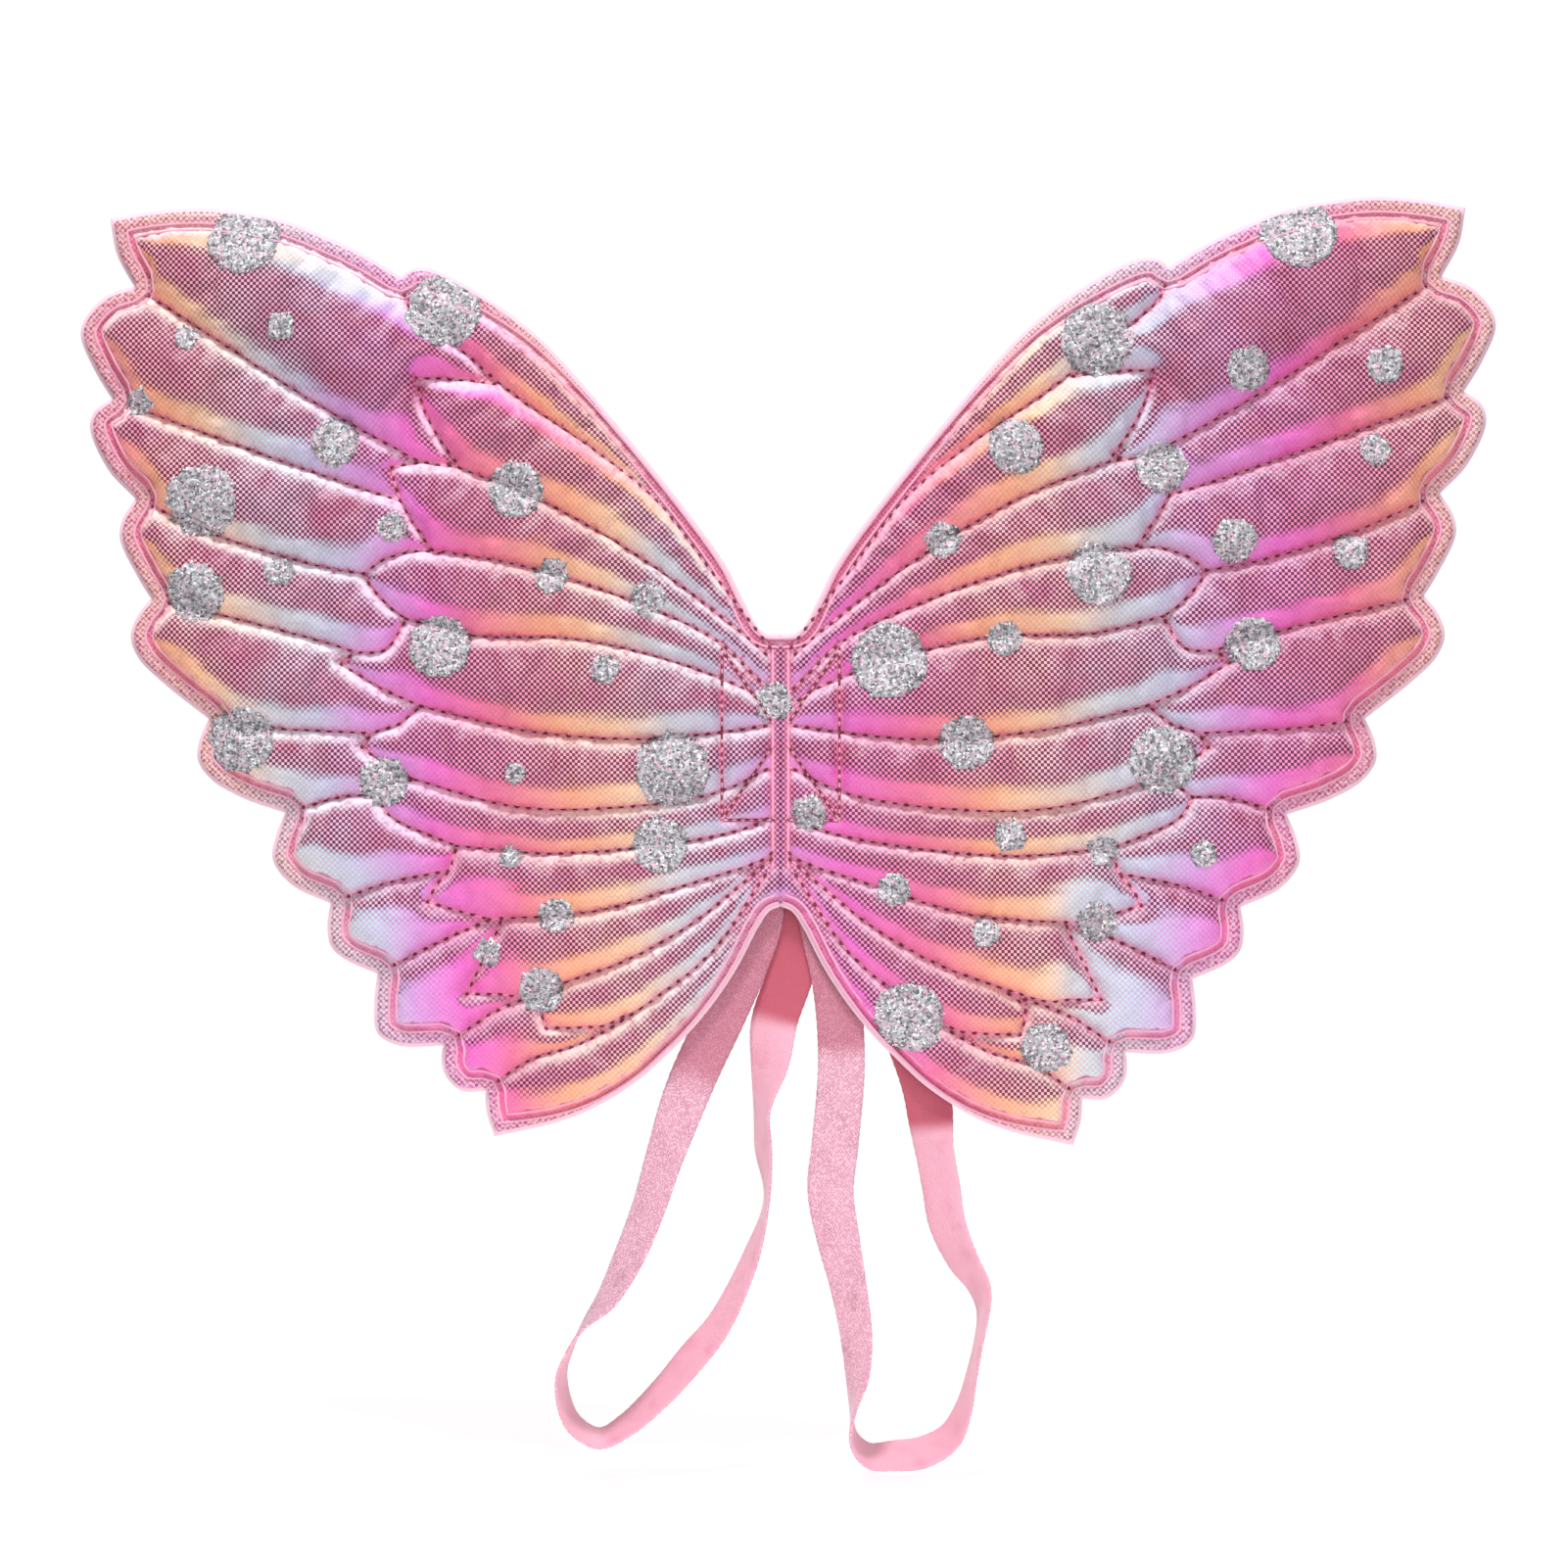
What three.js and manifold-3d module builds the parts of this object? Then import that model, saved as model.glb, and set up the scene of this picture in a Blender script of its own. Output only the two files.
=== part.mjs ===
// Padded fairy wings for a child: a quilted pair of wings with feather-shaped edges, worn on
// the back by two flat elastic loops. Millimetres, +Z up. The decorated side faces -Y and the
// wearer is at +Y. The origin is the middle of the strap panel's back face, which lies against
// the wearer. Each wing folds about an upright line at the strap panel's edge.
import * as THREE from 'three';
import { mergeVertices } from 'three/addons/utils/BufferGeometryUtils.js';
import Module from 'manifold-3d';

// Layers through the thickness, counted from the wearer's side (y = 0) towards the front.
const GAP = 0.3;               // clearance between pieces that touch
const PANEL_THICKNESS = 3.2;   // fabric panel with the four elastic ends sewn inside it
const BACKING_THICKNESS = 0.8;
const FOAM_THICKNESS = 5;
const COVER_THICKNESS = 1;     // cover fabric with its fleece
const COVER_INSET = 1.2;       // the backing shows as a narrow rim round the cover
const POCKET_INSET = 7;        // the border seam closes the pocket that the foam lies in
const FOAM_INSET = 8.2;
const SEAM_WIDTH = 3;          // a smaller inset than this keeps every point of the outline
const PANEL_WIDTH = 37.5;
const PANEL_HEIGHT = 55;

// The fold lines stand just outside the strap panel, on the back face of the wing.
const FOLD_X = PANEL_WIDTH / 2 + 0.75;
const FOLD_RELIEF = 45;        // degrees that each side of a fold leans away from it
const WING_REACH = 240;        // past the wing tips, for the blocks that divide the layers
const WING_HEIGHT = 200;

// The elastic: a flat band, 15 mm wide.
const STRAP_WIDTH = 15;
const STRAP_THICKNESS = 1.2;
const STRAP_STEPS = 40;

const BACKING_BACK = -PANEL_THICKNESS - GAP;
const BACKING_FRONT = BACKING_BACK - BACKING_THICKNESS;
const FOAM_BACK = BACKING_FRONT - GAP;
const FOAM_FRONT = FOAM_BACK - FOAM_THICKNESS;
const POCKET_FRONT = FOAM_FRONT - GAP;
const COVER_FRONT = POCKET_FRONT - COVER_THICKNESS;

// Half of the outline, (x, z) from the V at the top of the spine to the arch at its foot.
// Each row runs from one notch to the next, and its points are one smooth curve.
const HALF_OUTLINE = [
  // leading edge, then the bump of the uppermost inner feather
  [[0, 32], [6, 33], [12, 43], [30, 71.5], [48.5, 94.5], [68.5, 118], [80, 129.5], [94.5, 140],
    [112, 149], [118, 149], [121.5, 146.5]],
  // eleven feathers, from the upper tip round to the lowest
  [[121.5, 146.5], [134, 154], [159, 164.5], [183.5, 168], [214, 165], [207, 143.5]],
  [[207, 143.5], [222, 134], [224, 128], [219.5, 116.5], [214, 107.5]],
  [[214, 107.5], [220.5, 99.5], [215, 84.5], [206.5, 75.5]],
  [[206.5, 75.5], [211.5, 63], [205.5, 50], [201.5, 43.5]],
  [[201.5, 43.5], [207.5, 32], [197.5, 16.5], [183, 5]],
  [[183, 5], [186.5, -8], [171.5, -20.5], [158.5, -25]],
  [[158.5, -25], [162.5, -40], [156.5, -48], [144, -54]],
  [[144, -54], [144, -67.5], [140, -71.5], [129, -76.5]],
  [[129, -76.5], [129, -95.5], [122, -99.5], [108, -99.5]],
  [[108, -99.5], [107, -109.5], [102, -114], [94.5, -114]],
  [[94.5, -114], [91.5, -128.5], [71.5, -124], [45.5, -110.5], [28, -94], [13.5, -74], [7, -61.5],
    [0, -55]],
];

// Each elastic loop, followed from one end under the strap panel round to the other end.
// x, y and z of the band's middle, then the turn of the band: 0 degrees faces the front.
const LEFT_STRAP = [
  [-9, -2.3, -28.4, 0], [-9, -2.3, -34, 0], [-7.5, -2.3, -47, 0], [-6.5, -2.3, -58, 0],
  [-11, -2.4, -72.5, 0], [-18, -2.8, -88.5, 0], [-28.5, -3.5, -111, 10], [-36.5, -4, -133, 35],
  [-42.5, -4, -152, 45], [-48.5, -4, -167, 50], [-56, -4, -181, 65], [-63, -4, -189, 86],
  [-67.5, -3, -197, 95], [-70.5, -1, -207, 100], [-67, 1, -221, 104], [-58.5, 2, -226.5, 106],
  [-50, 2.5, -222.5, 112], [-38.5, 3, -212, 120], [-28.5, 3, -200.5, 125], [-20, 3, -190, 120],
  [-9.5, 2, -168, 108], [-4.5, 1, -150, 94], [-5.5, 0, -134, 110], [-6, -0.5, -120, 110],
  [-3.5, -0.8, -105, 145], [-2, -0.8, -92, 170], [3.5, -0.7, -75, 180], [4, -0.7, -60, 180],
  [-1.5, -0.7, -47, 180], [-9, -0.8, -34, 180], [-9, -0.8, -28.4, 180],
];
const RIGHT_STRAP = [
  [10.5, -2.3, -28.4, 0], [10.5, -2.3, -38, 0], [13.5, -2.3, -60, 0], [18, -2.5, -82, 0],
  [19.5, -3, -105, 0], [17.5, -3.5, -131, 0], [16, -4, -146, 12], [18.5, -4, -162, 25],
  [21.5, -4, -176, 38], [24, -4, -191, 46], [24.5, -4, -205, 60], [23, -3.5, -216, 84],
  [23.5, -2, -226.5, 100], [28.5, 0, -231.8, 112], [36.5, 1, -232, 120], [46, 2, -231, 122],
  [54.5, 2.5, -226, 116], [59, 3, -217, 106], [61.5, 3, -207, 99], [63.5, 2.5, -197, 96],
  [65, 2, -187, 100], [63.5, 1, -177.5, 120], [58.5, 0, -169, 132], [53.5, -0.5, -157, 140],
  [51.5, -0.8, -145, 142], [49, -0.8, -131, 146], [47, -0.8, -115, 180], [41, -0.8, -97, 180],
  [30, -0.8, -72, 180], [14.5, -0.8, -45, 180], [10.5, -0.8, -34, 180],
  [10.5, -0.8, -28.4, 180],
];

const wasm = await Module();
wasm.setup();

function toSolid(geometry) {
  geometry.deleteAttribute('normal');
  geometry.deleteAttribute('uv');
  const merged = mergeVertices(geometry, 1e-4);
  const vertProperties = Float32Array.from(merged.attributes.position.array);
  const triVerts = Uint32Array.from(merged.index.array);
  return new wasm.Manifold(new wasm.Mesh({ numProp: 3, vertProperties, triVerts }));
}

function toGeometry(solid) {
  const mesh = solid.getMesh();
  const geometry = new THREE.BufferGeometry();
  geometry.setAttribute('position', new THREE.BufferAttribute(mesh.vertProperties, 3));
  geometry.setIndex(new THREE.BufferAttribute(mesh.triVerts, 1));
  geometry.computeVertexNormals();
  return geometry;
}

// The points of one closed outline, both halves, each row's points joined by a curve.
function outlinePoints() {
  const half = [];
  for (const row of HALF_OUTLINE) {
    const curve = new THREE.SplineCurve(row.map(([x, z]) => new THREE.Vector2(x, z)));
    const steps = Math.round((row.length - 1) * 1.5);
    half.push(...curve.getPoints(steps).slice(0, -1));
  }
  half.push(new THREE.Vector2(0, -55));
  const mirrored = half.slice(1, -1).reverse().map((p) => new THREE.Vector2(-p.x, p.y));
  return [...half, ...mirrored];
}

// Moves each point of a clockwise outline inwards, square to the line between its neighbours.
function inset(points, distance) {
  return points.map((point, i) => {
    const before = points[(i + points.length - 1) % points.length];
    const after = points[(i + 1) % points.length];
    const along = after.clone().sub(before).normalize();
    return new THREE.Vector2(point.x + along.y * distance, point.y - along.x * distance);
  });
}

// A point that crossed its neighbour as the outline shrank is left out.
function withoutCrossings(points, original) {
  return points.filter((point, i) => {
    const next = (i + 1) % points.length;
    const run = points[next].clone().sub(point);
    const was = original[next].clone().sub(original[i]);
    return run.dot(was) > 0 && run.length() > 0.8;
  });
}

// A plate of the outline, standing in the XZ plane between two values of y.
function plate(insetBy, back, front) {
  const original = outlinePoints();
  const moved = inset(original, insetBy);
  const points = insetBy > SEAM_WIDTH ? withoutCrossings(moved, original) : moved;
  const geometry = new THREE.ExtrudeGeometry(new THREE.Shape(points), {
    depth: back - front,
    bevelEnabled: false,
  });
  geometry.rotateX(Math.PI / 2);
  geometry.translate(0, back, 0);
  return toSolid(geometry);
}

// An upright block whose plan is given in (x, y), used to divide the layers at the folds.
function uprightBlock(plan) {
  const shape = new THREE.Shape(plan.map(([x, y]) => new THREE.Vector2(x, y)));
  const geometry = new THREE.ExtrudeGeometry(shape, {
    depth: 2 * WING_HEIGHT,
    bevelEnabled: false,
  });
  geometry.translate(0, 0, -WING_HEIGHT);
  return toSolid(geometry);
}

// The part of the layers that belongs to the left wing, the centre or the right wing.
function regionBlock(side) {
  const deep = 30;
  const lean = deep * Math.tan(THREE.MathUtils.degToRad(FOLD_RELIEF));
  const front = BACKING_BACK - deep;
  if (side === 0) {
    const x = FOLD_X - GAP / 2;
    return uprightBlock([[-x, 5], [x, 5], [x, BACKING_BACK], [x - 0.6 * lean, BACKING_BACK - 0.6 * deep],
      [-x + 0.6 * lean, BACKING_BACK - 0.6 * deep], [-x, BACKING_BACK]]);
  }
  const x = side * (FOLD_X + GAP / 2);
  const outer = side * WING_REACH;
  return uprightBlock([[x, 5], [outer, 5], [outer, front], [x + side * lean, front], [x, BACKING_BACK]]);
}

function strapSection() {
  const w = STRAP_WIDTH / 2;
  const t = STRAP_THICKNESS / 2;
  const corner = t * 0.6;
  return new THREE.Shape([[w, t - corner], [w - corner, t], [corner - w, t], [-w, t - corner],
    [-w, corner - t], [corner - w, -t], [w - corner, -t], [w, corner - t]]
    .map(([x, y]) => new THREE.Vector2(x, y)));
}

// A smooth route whose band turns about its own run by the angles that go with its points.
class StrapRoute extends THREE.CatmullRomCurve3 {
  constructor(rows) {
    super(rows.map(([x, y, z]) => new THREE.Vector3(x, y, z)), false, 'centripetal');
    this.turns = rows.map((row) => THREE.MathUtils.degToRad(row[3]));
  }

  turnAt(t) {
    const place = t * (this.turns.length - 1);
    const before = Math.min(Math.floor(place), this.turns.length - 2);
    return THREE.MathUtils.lerp(this.turns[before], this.turns[before + 1], place - before);
  }

  computeFrenetFrames(steps) {
    const front = new THREE.Vector3(0, -1, 0);
    const frames = { tangents: [], normals: [], binormals: [] };
    for (let i = 0; i <= steps; i += 1) {
      const tangent = this.getTangentAt(i / steps);
      const across = new THREE.Vector3().crossVectors(front, tangent).normalize();
      across.applyAxisAngle(tangent, this.turnAt(this.getUtoTmapping(i / steps)));
      frames.tangents.push(tangent);
      frames.normals.push(across);
      frames.binormals.push(new THREE.Vector3().crossVectors(tangent, across));
    }
    return frames;
  }
}

function strapGeometry(rows) {
  return new THREE.ExtrudeGeometry(strapSection(), {
    steps: STRAP_STEPS,
    extrudePath: new StrapRoute(rows),
    bevelEnabled: false,
  });
}

function material(color, roughness) {
  return new THREE.MeshStandardMaterial({ color, roughness, metalness: 0 });
}

const wings = new THREE.Group();

function add(name, geometry, finish) {
  const mesh = new THREE.Mesh(geometry, finish);
  mesh.name = name;
  wings.add(mesh);
}

// The cover: a flange that the border seam closes, with a padded pocket raised in front of it.
function coverLayer() {
  const flange = plate(COVER_INSET, FOAM_BACK, FOAM_BACK - COVER_THICKNESS);
  const raised = plate(POCKET_INSET - COVER_THICKNESS, FOAM_BACK, COVER_FRONT);
  const pocket = plate(POCKET_INSET, FOAM_BACK + 1, POCKET_FRONT);
  return flange.add(raised).subtract(pocket);
}

const layers = {
  backing: plate(0, BACKING_BACK, BACKING_FRONT),
  foam: plate(FOAM_INSET, FOAM_BACK, FOAM_FRONT),
  cover: coverLayer(),
};
const finishes = {
  backing: material(0xf7cddc, 0.7),
  foam: material(0xf4ece4, 0.9),
  cover: material(0xd98fb0, 0.45),
};
const sides = { left: -1, centre: 0, right: 1 };

for (const [layer, solid] of Object.entries(layers)) {
  for (const [side, sign] of Object.entries(sides)) {
    add(`${side}_${layer}`, toGeometry(solid.intersect(regionBlock(sign))), finishes[layer]);
  }
}

const panel = new THREE.BoxGeometry(PANEL_WIDTH, PANEL_THICKNESS, PANEL_HEIGHT);
panel.translate(0, -PANEL_THICKNESS / 2, 0);
add('strap_panel', panel, material(0xf3c3d4, 0.75));

add('left_strap', strapGeometry(LEFT_STRAP), material(0xe6a5be, 0.6));
add('right_strap', strapGeometry(RIGHT_STRAP), material(0xe6a5be, 0.6));

export default wings;
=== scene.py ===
import math

import bpy
import numpy as np
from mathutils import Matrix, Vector, geometry, kdtree


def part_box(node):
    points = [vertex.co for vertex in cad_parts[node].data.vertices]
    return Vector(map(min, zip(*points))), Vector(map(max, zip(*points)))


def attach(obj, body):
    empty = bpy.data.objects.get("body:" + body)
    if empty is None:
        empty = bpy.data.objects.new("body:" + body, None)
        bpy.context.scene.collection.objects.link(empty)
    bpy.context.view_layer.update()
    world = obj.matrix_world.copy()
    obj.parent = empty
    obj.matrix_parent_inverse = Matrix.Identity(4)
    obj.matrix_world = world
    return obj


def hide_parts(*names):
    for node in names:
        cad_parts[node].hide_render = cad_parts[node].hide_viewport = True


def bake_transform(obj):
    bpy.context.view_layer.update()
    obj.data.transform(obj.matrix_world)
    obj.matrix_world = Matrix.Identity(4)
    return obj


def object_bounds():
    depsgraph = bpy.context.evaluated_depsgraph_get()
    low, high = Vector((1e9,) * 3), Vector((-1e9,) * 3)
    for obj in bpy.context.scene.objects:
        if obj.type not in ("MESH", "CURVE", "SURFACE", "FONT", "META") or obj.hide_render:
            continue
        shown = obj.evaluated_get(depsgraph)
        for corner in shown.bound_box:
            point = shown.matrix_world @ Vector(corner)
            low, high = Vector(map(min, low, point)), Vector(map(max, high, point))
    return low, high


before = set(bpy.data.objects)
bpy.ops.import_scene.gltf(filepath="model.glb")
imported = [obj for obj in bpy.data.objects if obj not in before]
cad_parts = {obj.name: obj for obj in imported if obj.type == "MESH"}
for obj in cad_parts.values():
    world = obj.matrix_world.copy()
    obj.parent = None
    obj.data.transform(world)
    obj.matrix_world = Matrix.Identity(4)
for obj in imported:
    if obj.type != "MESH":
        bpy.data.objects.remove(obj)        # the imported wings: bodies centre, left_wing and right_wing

CAD_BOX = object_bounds()
MM = 0.001               # metres
SIDES = {"left": -1, "right": 1}         # the sign of x on each wing

# ---------------------------------------------------------------- driving sizes
MIDDLE_Y = -5.4          # the seams draw both fabrics to this depth
COVER_THICK = 0.6
BACKING_THICK = 0.5
PUFF_HEIGHT = 9.0        # how far a very wide feather would stand out in front of its seams
PUFF_WIDTH = 9.0         # half width at which a feather reaches two thirds of that
BACK_PUFF = 0.2          # the back of a feather stands out this much of the front's height,
OUTER_BACK_PUFF = 0.42   # and more where no strap lies behind it
COVER_INSET = 1.2        # the backing shows as a rim this wide
BORDER_NEAR, BORDER_FAR = 2.8, 6.2     # border seam to edge, near the spine and at the tips
SEAM_PAIR = 1.3          # each line of the double border seam to its middle
SPINE_HALF = 2.5         # the spine seams stand this far from the middle,
SPINE_TOP, SPINE_FOOT = 27.5, -43.5    # between these two levels
BOX_HALF_X, BOX_HALF_Z = 18.75, 27.3   # the box stitch that holds the strap panel
STITCH_PITCH, BOX_PITCH = 3.7, 2.8
THREAD_SIZE = (2.1, 0.36, 0.8)         # a stitch: length, radius, and how flat it is
HOLE_SIZE = (0.9, 0.66, 0.4)           # the needle hole between two stitches, a dark dot of painted shade
BOX_THREAD_SIZE, BOX_HOLE_SIZE = (1.6, 0.42, 0.8), (0.6, 0.44, 0.5)
PANEL_THREAD_SIZE, PANEL_STITCH_PITCH = (1.8, 0.26, 1.0), 2.8
BORDER_THREAD, SPINE_THREAD = 0.42, 0.45       # radii
NET_PITCH = 1.31         # the printed net's dots, at 45 degrees
FOIL_REFLECTION_WIDTH = 13.0        # painted reflection: the foil is painted bright this far up from the lower seam of a feather
RIDGE_OFFSET = 1.4       # the painted highlight along the top of each feather lies this far from its seam
RIDGE_WIDTH = {"left": 1.8, "right": 1.4}
RIDGE_SHINE = {"left": (0.9, 1.3), "right": (0.8, 0.6)}    # of the inner and the outer feathers
LEADING_FEATHERS = [(170, 150), (60, 100)]     # a place in each of the two along the top edge
BAND_PERIOD, BAND_START = 137.5, -207.0        # the foil's rainbow, along x
BAND_WANDER = 34.0
LOW_TIPS_X, LOW_TIPS_Z = (75, 95), (-25, -50)  # the lowest outer feathers begin between these
LEFT_TIPS_X = (95, 125)                        # and the left wing's outer feathers
GROOVE_WIDTH, BOX_GROOVE_WIDTH = 1.0, 0.9
SPOT_BRIDGE = 3.2        # a glitter spot stands out this far at most over a seam
MESH_PITCH, CREASE_PITCH = 1.6, 1.3    # distances between the cover's mesh points
BACK_PITCH, BACK_CREASE_PITCH = 2.6, 2.2
FIELD_PITCH = 0.75       # the height field's cells
FIELD_LOW = (-2 * FIELD_PITCH, -138.0)         # its corner, and its size along x and z
FIELD_SIZE = (232, 316)
STRETCH = 0.022          # how much larger the right wing lies than the left
STRAP_WIDTH, STRAP_THICK, STRAP_STEP = 15.0, 1.2, 1.2
STRAP_RIB = 3.1          # the band's edge waves by a hundredth at this pitch
# Painted shade: the elastic is painted a deeper pink near, behind and under the wings, and a little at
# the loops' feet.
SHADE_NEAR, SHADE_FAR = 9.0, 14.0      # painted shade on the elastic this near to the wings' edge,
ARCH_HALF, ARCH_SHADE = 12.0, (-95.0, -89.0)   # under the arch at their foot,
FOOT_SHADE = (-165.0, -215.0)          # and a little at the loops' feet, darker towards the bottom
PANEL_INSET = 2.2        # the strap panel's edge to its box stitch
FLOOR_HALF, FLOOR_DROP = 1600.0, 4.0

# The cloth simulation.
SIM_SCALE = 10           # the solver works on the fabric at this many times its size
SIM_FRAMES = 22
FULLNESS = 0.035         # the fabric is this much larger than its seams allow
CLOTH = {
    "quality": 5, "mass": 0.3, "tension_stiffness": 25, "compression_stiffness": 25,
    "shear_stiffness": 12, "bending_stiffness": 0.12, "air_damping": 4, "shrink_min": -FULLNESS,
    "use_pressure": True, "uniform_pressure_force": 5, "vertex_group_mass": "held",
}
HELD_FILM, HELD_SEAM, HELD_BOX = 0.3, 1.0, 0.9     # points this near to a seam hold still
MOST_MOVED = 2.6

WORLD_LIGHT = 0.43
# The camera, in metres.
VIEW_WIDTH = 0.5003125                 # what the picture spans at the front of the wings
VIEW_CENTRE = (0.0011, -0.009, -0.0158)

# ---------------------------------------------------------------- outline and seams
# Half of the outline. Each row is one smooth curve, and rows meet at notches and sharp tips.
OUTLINE = [
    [(0, 32), (6, 33), (12, 43), (17.5, 54), (30, 71.5), (48.5, 94.5), (68.5, 118), (80, 129.5),
     (94.5, 140), (112, 149), (118, 149), (121.5, 146.5)],
    [(121.5, 146.5), (134, 154), (147, 160), (159, 164.5), (183.5, 168.3), (200, 167.5), (214.5, 165)],
    [(214.5, 165), (212.5, 154), (207, 143.5)],
    [(207, 143.5), (215.5, 140.5), (222, 134), (224, 128), (219.5, 116.5), (214, 107.5)],
    [(214, 107.5), (219.5, 103.5), (221, 98), (215, 84.5), (206.5, 75.5)],
    [(206.5, 75.5), (210.5, 69), (211.5, 63), (205.5, 50), (201.5, 43.5)],
    [(201.5, 43.5), (205.5, 38.5), (208, 31.5), (205.5, 24.5), (197.5, 16.5), (183, 5)],
    [(183, 5), (186, -2), (186.5, -8), (182, -14.5), (171.5, -20.5), (158.5, -25)],
    [(158.5, -25), (161.5, -32.5), (162.5, -40), (156.5, -48), (144, -54)],
    [(144, -54), (145, -61), (144, -67.5), (140, -71.5), (129, -76.5)],
    [(129, -76.5), (130, -86), (129, -95.5), (122, -99.5), (108, -99.5)],
    [(108, -99.5), (108.5, -104.5), (107, -109.5), (102, -114), (94.5, -114)],
    [(94.5, -114), (94, -121), (91.5, -128.5)],
    [(91.5, -128.5), (71.5, -124), (59, -119), (45.5, -110.5), (36, -102), (28, -94), (20, -84),
     (13.5, -74), (7, -61.5), (3.5, -56.5), (0, -55)],
]
# Seams between the inner feathers, from their outer fork to the spine.
INNER_SEAMS = [
    [(104, 124.5), (85, 108.5), (58.5, 90), (39.5, 74.5), (22, 52), (3.5, 28)],
    [(106, 86.5), (75, 74), (49.5, 59.5), (28.5, 45), (6.5, 27.5), (3.5, 24.5)],
    [(111.5, 59), (83, 54), (52.5, 44.5), (20.5, 30), (8.5, 19), (3, 13.5)],
    [(119.5, 37), (97, 31.5), (66, 30.5), (33.5, 23), (10.5, 14), (3, 9)],
    [(115, 9), (80, 1), (44.5, -1.5), (20.5, 0.5), (3, 3)],
    [(116.5, -14.5), (84.5, -23), (48.5, -23), (20.5, -18.5), (3, -10.5)],
    [(103.5, -35.5), (73, -38), (28.5, -34), (7, -28.5), (3, -26)],
    [(93, -59), (59.5, -56.5), (30, -48), (5.5, -40), (3, -38)],
    [(68.5, -79), (49, -72), (27, -59.5), (5.5, -42), (3, -40)],
    [(94.5, -114), (81, -104.5), (63, -98.5), (44, -87), (21.5, -69), (5, -45)],
]
# Seams between the outer feathers, from the notch at the edge to the inner feathers.
OUTER_SEAMS = [
    [(207, 143.5), (180, 126), (148, 105.5), (124, 92), (114, 87), (104, 85.5)],
    [(214, 107.5), (182, 95.5), (148.5, 83.5), (121.5, 74.5)],
    [(206.5, 75.5), (175.5, 62), (143.5, 53), (133.5, 51.5)],
    [(201.5, 43.5), (176, 37.5), (144, 29), (136, 26.5)],
    [(183, 5), (161, 2), (131.5, 0.5)],
    [(158.5, -25), (140, -20), (129, -19.5)],
    [(144, -54), (126, -47.5), (106, -43.5)],
    [(129, -76.5), (109.5, -66.5), (93.5, -59.5)],
    [(108, -99.5), (89, -87.5), (76.5, -83)],
]
# The pointed ends of the inner feathers: upper and lower side of each, from the point.
FEATHER_ENDS = [
    [(121.5, 146.5), (119, 137), (112, 130), (104, 124.5)],
    [(116.5, 114), (105, 113.5), (91.5, 112)],
    [(116.5, 114), (114, 104), (109, 94.5), (104, 87.5)],
    [(124.5, 85.5), (114.5, 87)],
    [(124.5, 85.5), (122, 76), (118, 68.5), (111.5, 59)],
    [(133.5, 51.5), (125.5, 56.5), (115.5, 58.5), (109, 58)],
    [(133.5, 51.5), (130, 46), (124, 40), (119.5, 37)],
    [(140.5, 22.5), (136, 26), (126.5, 27), (119.5, 37)],
    [(140.5, 22.5), (132.5, 17.5), (125, 13.5), (113, 8.5)],
    [(134, -4), (130, 0.5), (122.5, 3), (115, 9)],
    [(134, -4), (125, -10.5), (116.5, -14.5)],
    [(129, -19.5), (122.5, -15.5), (116.5, -14.5)],
    [(129, -19.5), (125.5, -25.5), (116.5, -30.5), (103.5, -35.5)],
    [(113, -53.5), (109.5, -47.5), (106, -43.5), (103.5, -35.5)],
    [(113, -53.5), (106, -55.5), (93, -59)],
    [(100.5, -83), (96.5, -75), (90, -61.5), (89, -58.5)],
    [(100.5, -83), (89, -83), (84, -83.5), (68.5, -79)],
    [(75, -94), (76.5, -86), (68.5, -79)],
    [(75, -94), (63, -93.5), (56.5, -93), (49, -89.5)],
]
# Glitter spots, (x, z, radius), for each wing as it is seen from the front.
SPOTS = {
    "left": [
        (-171, 157.5, 11.3), (-107.5, 135.5, 11.8), (-158.5, 129.5, 4.7), (-189, 126.5, 3.8),
        (-204.5, 106, 4.4), (-142, 93, 7.5), (-184, 74.5, 11.3), (-123.5, 66, 4.7), (-84.5, 78, 9),
        (-186.5, 45.5, 9.4), (-159.5, 52, 4.7), (-73, 50.5, 5.6), (-42.5, 43, 5.6), (-108.5, 28, 10),
        (-56, 20.5, 4.7), (-172, -1.5, 10.6), (-126.5, -15, 8.1), (-84.5, -12, 3.1),
        (-34.5, -11, 11.8), (-38.5, -35, 8.8), (-86, -39, 3.8), (-71.5, -57.5, 5.6),
        (-93.5, -69.5, 4.4), (-76.5, -81.5, 7.2), (-2.5, 10.5, 6.3),
    ],
    "right": [
        (165, 160, 11.8), (101, 126, 11.3), (148.5, 116, 6.9), (192, 117.5, 5.6), (75, 91.5, 8.4),
        (121.5, 85.5, 8.1), (189, 90.5, 4.7), (52, 62, 5.6), (144.5, 62, 6.9), (181.5, 58.5, 5.6),
        (101.5, 51.5, 10), (71.5, 30.5, 5.6), (35, 23.5, 11.8), (150.5, 29, 8.4), (59.5, -2.5, 8.4),
        (122, -8, 10.6), (73, -32, 5), (103, -37, 5), (134.5, -38, 4), (36.5, -50, 5.3),
        (65.5, -63, 4.4), (101, -59.5, 6.3), (41.5, -90.5, 10.9), (84.5, -100, 7.8), (9.5, -25.5, 5.6),
        (-2.5, 10.5, 6.3),
    ],
}

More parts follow.
